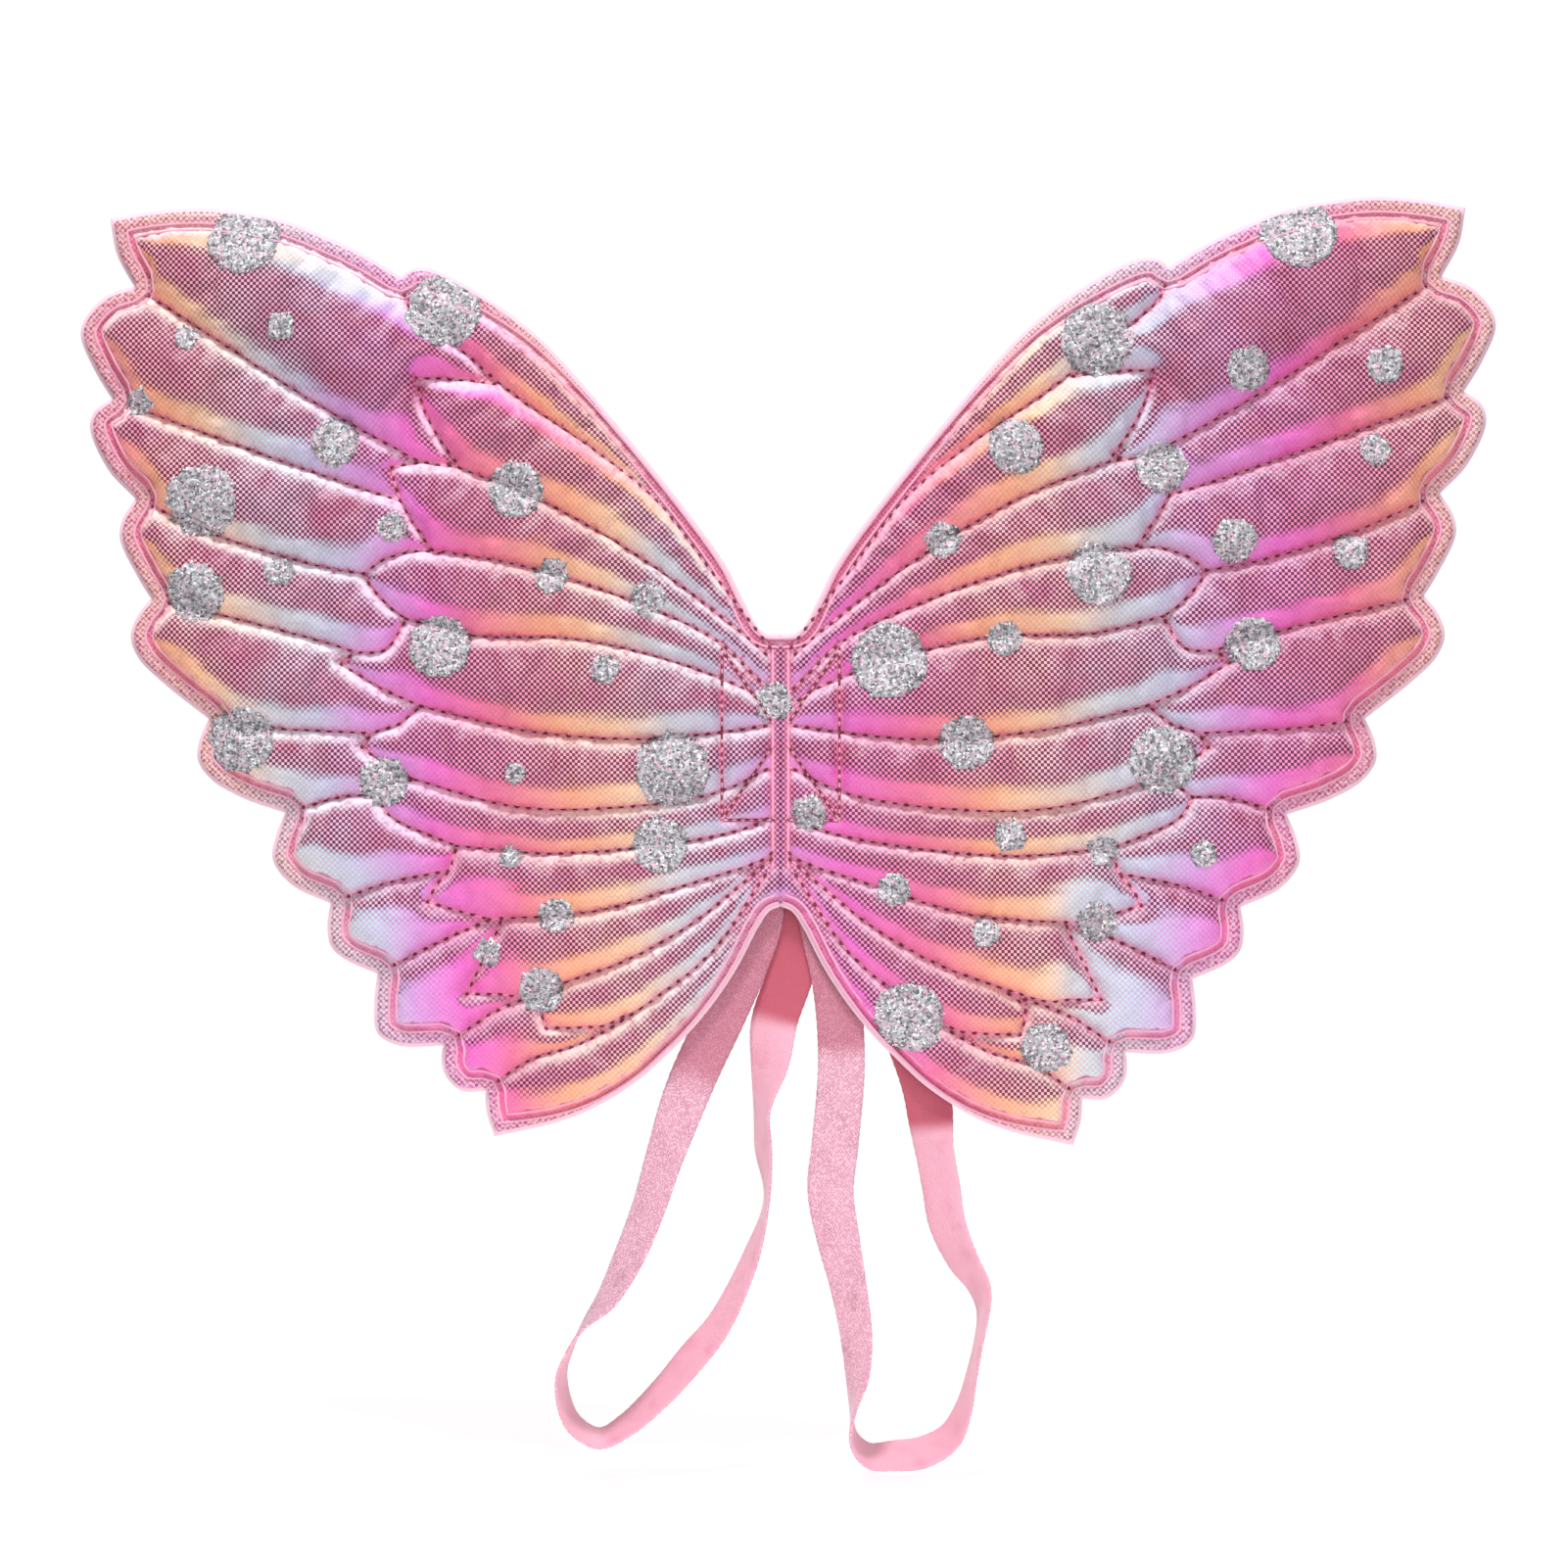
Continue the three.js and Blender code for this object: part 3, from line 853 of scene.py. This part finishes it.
def cover_material():
    """Rainbow foil under a fine pink net. Painted reflection: the foil is painted bright on the lower
    side of each feather. Painted highlight: a pale line runs along the top of each feather.
    """
    n = Nodes("iridescent_cover")
    bands = rainbow(n)
    dots = n.maths("ADD", *n.waves("COSINE", NET_PITCH, NET_PITCH, math.pi / 4))
    net = n.step(n.scaled(dots, 0.25, 0.5), 0.3, 0.62)
    grain, cloud = n.noise(230, 3.0), n.noise(6.0, 3.0)
    lustre = n.noise(5.0, 2.0, n.pattern((1, 5, 1), 0.1))
    ground = n.mix(0.36, (234, 164, 200), bands)
    ground = n.mix(n.step(cloud, 0.35, 0.75), ground, (222, 130, 164))
    rose = n.mix(net, ground, (98, 12, 56))
    foil_reflection = n.mix(n.times(net, 0.34), bands, (206, 98, 140))
    foil_reflection = n.mix(n.times(n.step(grain, 0.5, 0.34), 0.26), foil_reflection, (176, 84, 128))
    # Painted reflection: the foil shows bright where its attribute says, frayed by the net and an uneven
    # lustre, and elsewhere the net lies over a darker ground.
    halftone = n.scaled(n.maths("SUBTRACT", 0.5, net), 0.22, n.attribute("foil_reflection"))
    uneven = n.scaled(n.maths("SUBTRACT", lustre, 0.5), 0.7, halftone)
    colour = n.mix(n.step(uneven, 0.12, 0.8), rose, foil_reflection)
    hem = n.mix(n.times(net, 0.85), n.mix(0.4, bands, (240, 168, 192)), (132, 36, 84))
    hem = n.mix(n.times(n.step(n.noise(90, 2.0), 0.4, 0.62), 0.5), hem, (244, 214, 222))
    colour = n.mix(n.attribute("hem"), colour, hem)
    colour = n.mix(n.times(n.attribute("groove"), 0.75), colour, (240, 112, 156))
    # Painted highlight: pale beads along the top of each feather.
    beads = n.scaled(n.step(n.noise(48, 2.0), 0.3, 0.55), 0.6, 0.4)
    pale = n.mix(0.35, (255, 242, 244), bands)
    colour = n.mix(n.times(n.attribute("ridge_highlight"), beads), colour, pale)
    colour = n.mix(n.times(n.step(grain, 0.6, 0.85), 0.7), colour, (250, 214, 228))
    height = n.scaled(grain, 0.7, n.times(net, -0.6))
    return n.finish(colour, n.scaled(grain, 0.25, 0.28), height, 0.35, 0.0004,
                    Sheen_Weight=0.15, Sheen_Roughness=0.4, Specular_IOR_Level=0.5)


def woven_material(name, light, dark, thread_mm):
    """A plain weave of fine threads with a little fuzz and uneven dye."""
    n = Nodes(name)
    weave, fibre = n.weave(thread_mm, thread_mm), n.noise(420, 3.0)
    colour = n.mix(n.times(weave, 0.6), light, dark)
    colour = n.mix(n.step(n.noise(9.0, 4.0), 0.35, 0.8), colour, dark, "SOFT_LIGHT")
    return n.finish(colour, n.scaled(fibre, 0.2, 0.65), n.scaled(fibre, 0.6, weave), 0.3, 0.0003,
                    Sheen_Weight=0.35, Sheen_Roughness=0.5)


def glitter_material():
    """Silver glitter set in a clear print, with painted glints: each grain is painted its own grey, as
    if it leaned its own way to the light.
    """
    n = Nodes("silver_glitter")
    grain = n.cells(150.0)
    pink = n.times(n.step(grain[1], 0.86, 0.9), 0.7)
    colour = n.mix(pink, n.ramp(grain[0], GLINT_GREYS), (236, 178, 200))
    return n.finish(colour, n.scaled(grain[2], 0.3, 0.45), grain[1], 0.5, 0.0004,
                    Specular_IOR_Level=0.4)


def thread_material(name, light, dark):
    """Twisted sewing thread."""
    n = Nodes(name)
    inputs = {"Vector": n.pattern((100, 100, 100), math.pi / 4), "Scale": 2.2, "Distortion": 0.5}
    ply = n.add("ShaderNodeTexWave", inputs, 1)
    return n.finish(n.mix(ply, light, dark), n.scaled(ply, 0.2, 0.35), ply, 0.5, 0.0002,
                    Sheen_Weight=0.3)


def elastic_material(name, glittery):
    """Woven elastic: fine ribs along the band, and glitter yarn on one face. Painted shade: a deeper
    pink is painted where the attribute shaded says, and the glitter's painted glints dim there."""
    n = Nodes(name)
    thick, painted_shade_share = 1.0, 0.95
    light, dark, painted_shade_colour = (238, 178, 196), (220, 144, 168), (186, 74, 96)
    if glittery:
        thick, painted_shade_share = 1.35, 0.72
        light, dark, painted_shade_colour = (228, 170, 190), (178, 108, 134), (176, 84, 108)
    weave, fibre = n.weave(1.1 * thick, 0.9 * thick), n.noise(330, 3.0)
    colour = n.mix(n.times(weave, 0.6), light, dark)
    colour = n.mix(n.step(n.noise(12.0, 3.0), 0.45, 0.9), colour, dark)
    colour = n.mix(n.times(n.attribute("shaded"), painted_shade_share), colour, painted_shade_colour)
    roughness = n.scaled(fibre, 0.25, 0.42)
    height = n.maths("ADD", weave, fibre)
    if glittery:
        grain = n.cells(260.0)
        unshaded = n.scaled(n.attribute("shaded"), -0.45, 0.6)
        # Painted glints: bright grains of the glitter yarn, dimmer where the shade is painted.
        colour = n.mix(n.times(n.step(grain[0], 0.62, 0.8), unshaded), colour, (252, 218, 228))
        colour = n.mix(n.times(n.step(grain[1], 0.8, 0.9), 0.5), colour, (196, 130, 152))
        roughness = n.scaled(grain[2], 0.3, 0.3)
        height = n.maths("ADD", height, grain[0])
    return n.finish(colour, roughness, height, 0.4, 0.0003, Sheen_Weight=0.3,
                    Sheen_Roughness=0.4)


def floor_material():
    """Pale paper that fades into the white of the studio away from the wings."""
    n = Nodes("pale_floor")
    place = n.add("ShaderNodeTexCoord", output=3)
    colour = n.mix(n.noise(3.0, 2.0, place), (255, 254, 254), (252, 251, 251))
    far = n.add("ShaderNodeVectorMath", {0: place}, 1, operation="LENGTH")
    n.put(n.shader.inputs["Alpha"], n.step(far, 0.75, 0.3))
    return n.finish(colour, 0.9, Emission_Color=(255, 255, 255), Emission_Strength=0.36)


# ---------------------------------------------------------------- camera, light and floor
def make_camera():
    data = bpy.data.cameras.new("Camera")
    data.lens = 85
    data.sensor_width = 36
    x, y, z = VIEW_CENTRE
    camera = add_object("Camera", data)
    camera.location = (x, y - VIEW_WIDTH * data.lens / data.sensor_width, z)
    camera.rotation_euler = (math.pi / 2, 0, 0)
    bpy.context.scene.camera = camera


def make_lamp(name, place, size, power):
    data = bpy.data.lights.new(name, "AREA")
    data.shape = "DISK"
    data.size = size
    data.energy = power
    lamp = add_object(name, data)
    lamp.location = place
    lamp.rotation_euler = (-Vector(place)).to_track_quat("-Z", "Y").to_euler()


def make_studio():
    """Soft lamps, in metres and watts, and a world that looks white but lights less than that."""
    make_lamp("key", (-0.25, -0.85, 1.7), 0.4, 32)
    make_lamp("fill", (0.6, -1.8, 0.3), 1.2, 8)
    make_lamp("back", (0.4, 1.8, 1.2), 1.2, 14)
    world = bpy.data.worlds.new("studio")
    bpy.context.scene.world = world
    world.use_nodes = True
    tree = world.node_tree
    background = tree.nodes["Background"]
    background.inputs["Color"].default_value = (1, 1, 1, 1)
    seen = tree.nodes.new("ShaderNodeLightPath")
    strength = tree.nodes.new("ShaderNodeMapRange")
    strength.inputs["To Min"].default_value = WORLD_LIGHT
    strength.inputs["To Max"].default_value = 1.0
    tree.links.new(seen.outputs["Is Camera Ray"], strength.inputs["Value"])
    tree.links.new(strength.outputs[0], background.inputs["Strength"])
    bpy.context.scene.view_settings.view_transform = "Standard"


def make_floor():
    h, z = FLOOR_HALF, CAD_BOX[0].z / MM - FLOOR_DROP
    corners = [(-h, -h, z), (h, -h, z), (h, h, z), (-h, h, z)]
    make_object("floor", corners, [(0, 1, 2, 3)], [floor_material()])


# ---------------------------------------------------------------- the elastic loops
def shade_on_loop(path):
    """How deep the painted shade is along a loop, from 0 to 1: near and behind the wings, under the
    arch, and a little at the loops' feet.
    """
    edge = edge_line(1.0)
    off_edge = nearest(path[:, (0, 2)], np.vstack([edge, edge * (-1, 1)]))
    under_arch = (np.abs(path[:, 0]) < ARCH_HALF) * smoothstep(*ARCH_SHADE, path[:, 2])
    shade = np.maximum(smoothstep(SHADE_FAR, SHADE_NEAR, off_edge), under_arch)
    shade = np.where(behind_wings(path[:, (0, 2)]), 1.0, shade)
    return np.maximum(shade, 0.13 * smoothstep(*FOOT_SHADE, path[:, 2]))


def make_strap(name, rows, faces_materials):
    """A flat band with slightly rounded faces and edges, one face glittery and one plain."""
    # A degree of turn counts as 0.02 mm, so the samples stay even along the band.
    line = smooth_line(rows, STRAP_STEP) * (1, 1, 1, 0.02)
    line = evenly(line, STRAP_STEP) * (1, 1, 1, 50)
    path, turns = line[:, :3], np.radians(line[:, 3])
    along = directions(path)
    across = unit(np.cross((0, -1, 0), along))
    face = np.cross(along, across)
    c, s = np.cos(turns)[:, None], np.sin(turns)[:, None]
    across, face = across * c + np.cross(along, across) * s, face * c + np.cross(along, face) * s
    u = np.array([-1, -0.94, -0.8, -0.4, 0, 0.4, 0.8, 0.94, 1.0])
    lift = np.array([0.25, 0.75, 1, 0.85, 0.8, 0.85, 1, 0.75, 0.25])
    ring = np.vstack([np.column_stack([u, lift]), np.column_stack([u[::-1], -lift[::-1]])])
    ring *= (STRAP_WIDTH / 2, STRAP_THICK / 2)
    run = lengths_along(path)
    wave = 1 + 0.012 * np.sin(run * 2 * math.pi / STRAP_RIB)
    vertices, uvs = [], []
    for k in range(len(path)):
        for a, b in ring:
            vertices.append(path[k] + across[k] * a * wave[k] + face[k] * b)
            uvs.append((run[k], a))
    # Painted shade goes only on the face that is turned to the front.
    forwards = -np.outer(face[:, 1], np.sign(ring[:, 1]))
    shaded = (shade_on_loop(path)[:, None] * smoothstep(0, 0.5, forwards)).ravel()
    slots = ([0] * len(u) + [1] * len(u)) * (len(path) - 1) + [0, 0]
    strap = make_object(name + "_band", vertices, tube_faces(len(path), len(ring)),
                        faces_materials, uvs, {"shaded": shaded}, slots)
    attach(strap, "centre")
    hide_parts(name)


make_camera()
ELASTIC = [elastic_material("glittery_elastic", True), elastic_material("plain_elastic", False)]
for strap_name, strap_rows in STRAPS.items():
    make_strap(strap_name, strap_rows, ELASTIC)
make_studio()
make_floor()


# ---------------------------------------------------------------- the wings
PADDING = Padding()
SEAMS = seam_lines()
BORDER = border_line()
SPINE = spine_line()
COVER = cover_material()
BACKING = woven_material("pale_pink_backing", (252, 212, 226), (240, 186, 206), 0.7)
PANEL = woven_material("pink_panel", (248, 196, 214), (232, 164, 190), 0.8)
GLITTER = glitter_material()
THREAD = thread_material("pink_thread", (255, 200, 222), (240, 130, 176))
# Painted shade: dark dots stand for the shade in the needle holes, and a dark tube for the shade in the
# box stitch's groove.
HOLE_SHADE = thread_material("needle_hole_shade", (150, 16, 60), (104, 8, 42))
WELT = thread_material("border_thread", (255, 204, 224), (250, 152, 192))


def beside(lines, distance):
    """Points a little to either side of the seams, where the fabric turns most."""
    offsets = (-distance, distance)
    points = np.vstack([line + sideways(line) * offset for line in lines for offset in offsets])
    return points[nearest(points, np.vstack(lines)) > 0.85 * distance]


def blow_up_fabric(name, start, faces, free):
    """Lets air into the sewn fabric: seams hold still, and the slightly full fabric puckers."""
    mesh = bpy.data.meshes.new(name)
    mesh.from_pydata(start * MM * SIM_SCALE, [], faces)
    cloth_object = add_object(name, mesh)
    held = cloth_object.vertex_groups.new(name="held")
    held.add(np.nonzero(~free)[0].tolist(), 1.0, "REPLACE")
    cloth = cloth_object.modifiers.new("cloth", "CLOTH")
    for key, value in CLOTH.items():
        setattr(cloth.settings, key, value)
    cloth.settings.effector_weights.gravity = 0
    cloth.collision_settings.use_collision = False
    cloth.point_cache.frame_end = SIM_FRAMES
    scene = bpy.context.scene
    for frame_number in range(1, SIM_FRAMES + 1):
        scene.frame_set(frame_number)
    shaped = cloth_object.evaluated_get(bpy.context.evaluated_depsgraph_get()).to_mesh()
    result = np.empty(len(start) * 3)
    shaped.vertices.foreach_get("co", result)
    scene.frame_set(1)
    bpy.data.objects.remove(cloth_object)
    bpy.data.meshes.remove(mesh)
    moved = result.reshape(-1, 3) / (MM * SIM_SCALE) - start
    far = np.linalg.norm(moved, axis=1, keepdims=True)
    return start + moved * np.minimum(1, MOST_MOVED / np.maximum(far, 1e-6))


def cover_print(points, side, to_seam, to_box):
    """What the cover shows at each of its points, from 0 to 1: the foil's painted reflection, grooves,
    the ridges' painted highlight and hem, and how far the rainbow is shifted."""
    x, z = np.abs(points[:, 0]), points[:, 1]
    across = PADDING.sample(PADDING.across, points)
    low_tips = smoothstep(*LOW_TIPS_X, x) * smoothstep(*LOW_TIPS_Z, z)
    start = np.clip(1 - FOIL_REFLECTION_WIDTH / PADDING.sample(PADDING.span, points), -0.2, 0.4)
    # Painted reflection: the foil is painted bright on the lower side of each feather, more on the low
    # outer tips,
    foil_reflection = smoothstep(0, 0.75, across - start + 0.35 * low_tips)
    # and on the upper side of the two leading feathers.
    lead = PADDING.leading[PADDING.cell(points)] * smoothstep(0.2, 0.75, -across)
    shift = 0.1 * low_tips
    if side == "left":
        shift = np.minimum(-0.08 * smoothstep(*LEFT_TIPS_X, x), -0.22 * lead) - 0.07 * low_tips
    # Painted highlight along the top of each feather, on its upper side only.
    ridge_highlight = np.exp(-((to_seam - RIDGE_OFFSET) / RIDGE_WIDTH[side]) ** 2)
    ridge_highlight *= smoothstep(0.2, 0.6, -across) * np.interp(x, (80, 110), RIDGE_SHINE[side])
    groove = np.exp(-(to_seam / GROOVE_WIDTH) ** 2)
    groove = np.maximum(groove, np.exp(-(to_box / BOX_GROOVE_WIDTH) ** 2))
    hem = PADDING.sample(PADDING.edge_distance, points) < border_inset(x) - 0.5
    return {"foil_reflection": np.maximum(foil_reflection, lead), "groove": groove, "hem": hem,
            "ridge_highlight": ridge_highlight * (1 - 0.65 * low_tips), "shift": shift}


def make_cover(side):
    """The cover of one wing and half of the centre, and its glitter spots."""
    edge = edge_line(0.9)
    rim = inner_offset(edge, np.full(len(edge), COVER_INSET))
    rim[0, 0] = rim[-1, 0] = 0
    creases = [evenly(line, CREASE_PITCH) for line in [*SEAMS, SPINE, BORDER, *box_lines()]]
    points, faces = triangulate(side, rim, creases, MESH_PITCH, beside(creases, 1.25))
    right = points * (SIDES[side], 1)
    outer = at_depth(points, PADDING.front(points))
    to_seam = nearest(right, np.vstack([*SEAMS, BORDER, SPINE]))
    to_box = nearest(right, box_points(0.5))
    free = (PADDING.sample(PADDING.film, points) > HELD_FILM) & (to_seam > HELD_SEAM)
    free &= (right[:, 0] > SPINE_HALF) & (to_box > HELD_BOX)
    outer = blow_up_fabric(side + "_fabric", outer, faces, free)
    shown = cover_print(points, side, to_seam, to_box)
    vertices, solid = closed_sheet(outer, outer + (0, COVER_THICK, 0), faces)
    cover = wing_piece(side, "_quilted_cover", vertices, solid, [COVER],
                       np.tile(points, (2, 1)), {key: np.tile(v, 2) for key, v in shown.items()})
    nodes = [side + "_cover", side + "_foam"]
    if side == "left":
        nodes += ["centre_cover", "centre_foam"]
    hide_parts(*nodes)
    make_glitter(side, points, outer, faces)


def spot_depth(points, side):
    """How far inside the nearest glitter spot each point lies, in millimetres."""
    smaller = 1 + (STRETCH if side == "right" else 0)
    depth = np.full(len(points), -1e3)
    for x, z, radius in SPOTS[side]:
        dx, dz = points[:, 0] - x / smaller, points[:, 1] - z / smaller
        angle = np.arctan2(dz, dx)
        ragged = radius + 0.15 * np.sin(4 * angle + x) + 0.15 * np.sin(11 * angle + z)
        depth = np.maximum(depth, ragged - np.hypot(dx, dz))
    return depth


def make_glitter(side, points, outer, faces):
    """Thin patches of the cover's own surface inside the spots, which fill its seams a little."""
    normals = surface_normals(outer, faces)
    chosen = spot_depth(points[np.array(faces)].mean(1), side) > 0
    picked = [face for face, take in zip(faces, chosen) if take]
    used = sorted({i for face in picked for i in face})
    number = {old: new for new, old in enumerate(used)}
    picked = [tuple(number[i] for i in face) for face in picked]
    top = outer[used] + normals[used] * 0.22
    height = outer[used, 1]
    bridge = np.clip(height - neighbour_mean(height, picked, 24), 0, SPOT_BRIDGE)
    top[:, 1] -= bridge * np.clip(spot_depth(points[used], side) / 1.5, 0, 1)
    vertices, solid = closed_sheet(top, outer[used] + normals[used] * 0.02, picked)
    wing_piece(side, "_glitter_spots", vertices, solid, [GLITTER],
               np.tile(points[used], (2, 1)))


def make_backing(side):
    creases = [evenly(line, BACK_CREASE_PITCH) for line in SEAMS + [SPINE, BORDER]]
    points, faces = triangulate(side, edge_line(1.3), creases, BACK_PITCH)
    outer = at_depth(points, PADDING.back(points))
    flipped = [tuple(reversed(face)) for face in faces]
    vertices, solid = closed_sheet(outer, outer - (0, BACKING_THICK, 0), flipped)
    backing = wing_piece(side, "_backing_sheet", vertices, solid, [BACKING],
                         np.tile(points, (2, 1)))
    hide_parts(side + "_backing", *(["centre_backing"] if side == "left" else []))


def surface_place(line, side, lift, back=False):
    """Points in three dimensions where a line of the pattern lies on the fabric."""
    y = PADDING.back(line) + lift if back else PADDING.front(line) - lift
    return at_depth(line * (SIDES[side], 1), y)


def make_stitches(side):
    """The thread between the needle holes along every feather seam, front and back, and along the box
    stitch; dark dots and a dark tube of painted shade stand for the holes and the box stitch's groove.
    """
    thread, hole = capsule(*THREAD_SIZE), capsule(*HOLE_SIZE)
    box_thread, box_hole = capsule(*BOX_THREAD_SIZE), capsule(*BOX_HOLE_SIZE)
    parts = []
    for line in SEAMS:
        dense = evenly(line, STITCH_PITCH / 2)
        if len(dense) < 4:
            continue
        place = surface_place(dense, side, 0.3)
        odd, bare = odd_samples(place), spot_depth(place[:, (0, 2)], side) < 0.3
        sew(parts, thread, place, odd & bare, -1, 0)
        sew(parts, hole, place - (0, 0.25, 0), ~odd & bare, -1, 1)
        sew(parts, thread, surface_place(dense, side, 0.3, True), odd, 1, 0)
    for line in box_lines():
        place = surface_place(evenly(line, BOX_PITCH / 2), side, 0.5)
        odd = odd_samples(place)
        sew(parts, box_thread, place, odd, -1, 0)
        sew(parts, box_hole, place - (0, 0.1, 0), ~odd, -1, 1)
        # painted shade: a dark tube in the box stitch's groove
        parts.append((*tube(place + (0, 0.2, 0), 0.5), 1))
    vertices, faces, kinds = joined(parts)
    wing_piece(side, "_seam_stitches", vertices, faces, [THREAD, HOLE_SHADE],
               vertices[:, (0, 2)], slots=kinds)


def make_piping(side):
    """The double line of the border seam and of the spine seam."""
    edge = edge_line(0.5)
    parts = []
    for shift in (-SEAM_PAIR, SEAM_PAIR):
        line = evenly(inner_offset(edge, border_inset(edge[:, 0]) + shift), 1.4)
        parts.append((*tube(surface_place(line, side, 0.1), BORDER_THREAD), 0))
    spine = surface_place(evenly(SPINE, 1.5), side, 0.12)
    parts.append((*tube(spine, SPINE_THREAD), 0))
    vertices, faces, _ = joined(parts)
    wing_piece(side, "_border_seam", vertices, faces, [WELT], vertices[:, (0, 2)])


def make_panel():
    """The strap panel: a hemmed rectangle, drawn in along its box stitch and cross."""
    low, high = (np.array(c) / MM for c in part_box("strap_panel"))
    half_x, half_z = (high[0] - low[0]) / 2, (high[2] - low[2]) / 2
    xs, zs = np.linspace(-half_x, half_x, 51), np.linspace(-half_z, half_z, 75)
    points = np.array([(x, z) for x in xs for z in zs])
    a, b = half_x - PANEL_INSET, half_z - PANEL_INSET
    lines = [[(-a, b), (a, b)], [(a, b), (a, -b)], [(a, -b), (-a, -b)], [(-a, -b), (-a, b)],
             [(-a, b), (a, -b)], [(a, b), (-a, -b)]]
    sewn = [evenly(np.array(line, float), 0.7) for line in lines]
    groove = np.exp(-(nearest(points, np.vstack(sewn)) / 0.9) ** 2)
    edge = np.minimum(half_x - np.abs(points[:, 0]), half_z - np.abs(points[:, 1]))
    rounding = 1 - np.clip(edge, 0, 1.2) / 1.2
    y = high[1] - 0.05 - 0.55 * groove - 0.9 * rounding
    y -= 0.12 * (1 + noise_field(points[:, 0], points[:, 1], 7, 21))
    nz = len(zs)
    faces = [(i * nz + j, i * nz + j + 1, (i + 1) * nz + j + 1, (i + 1) * nz + j)
             for i in range(len(xs) - 1) for j in range(nz - 1)]
    vertices, solid = closed_sheet(at_depth(points, y), at_depth(points, low[1] + 0.1), faces)
    panel = make_object("strap_panel_fabric", vertices, solid, [PANEL], np.tile(points, (2, 1)))
    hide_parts("strap_panel")
    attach(panel, "centre")
    parts = []
    for line in sewn:
        place = at_depth(evenly(line, PANEL_STITCH_PITCH / 2), high[1] - 0.55)
        sew(parts, capsule(*PANEL_THREAD_SIZE), place, odd_samples(place), 1, 0)
    vertices, faces, _ = joined(parts)
    stitches = make_object("panel_box_stitch", vertices, faces, [THREAD], vertices[:, (0, 2)])
    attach(stitches, "centre")


for wing_side in SIDES:
    make_cover(wing_side)
    make_backing(wing_side)
    make_stitches(wing_side)
    make_piping(wing_side)
make_panel()
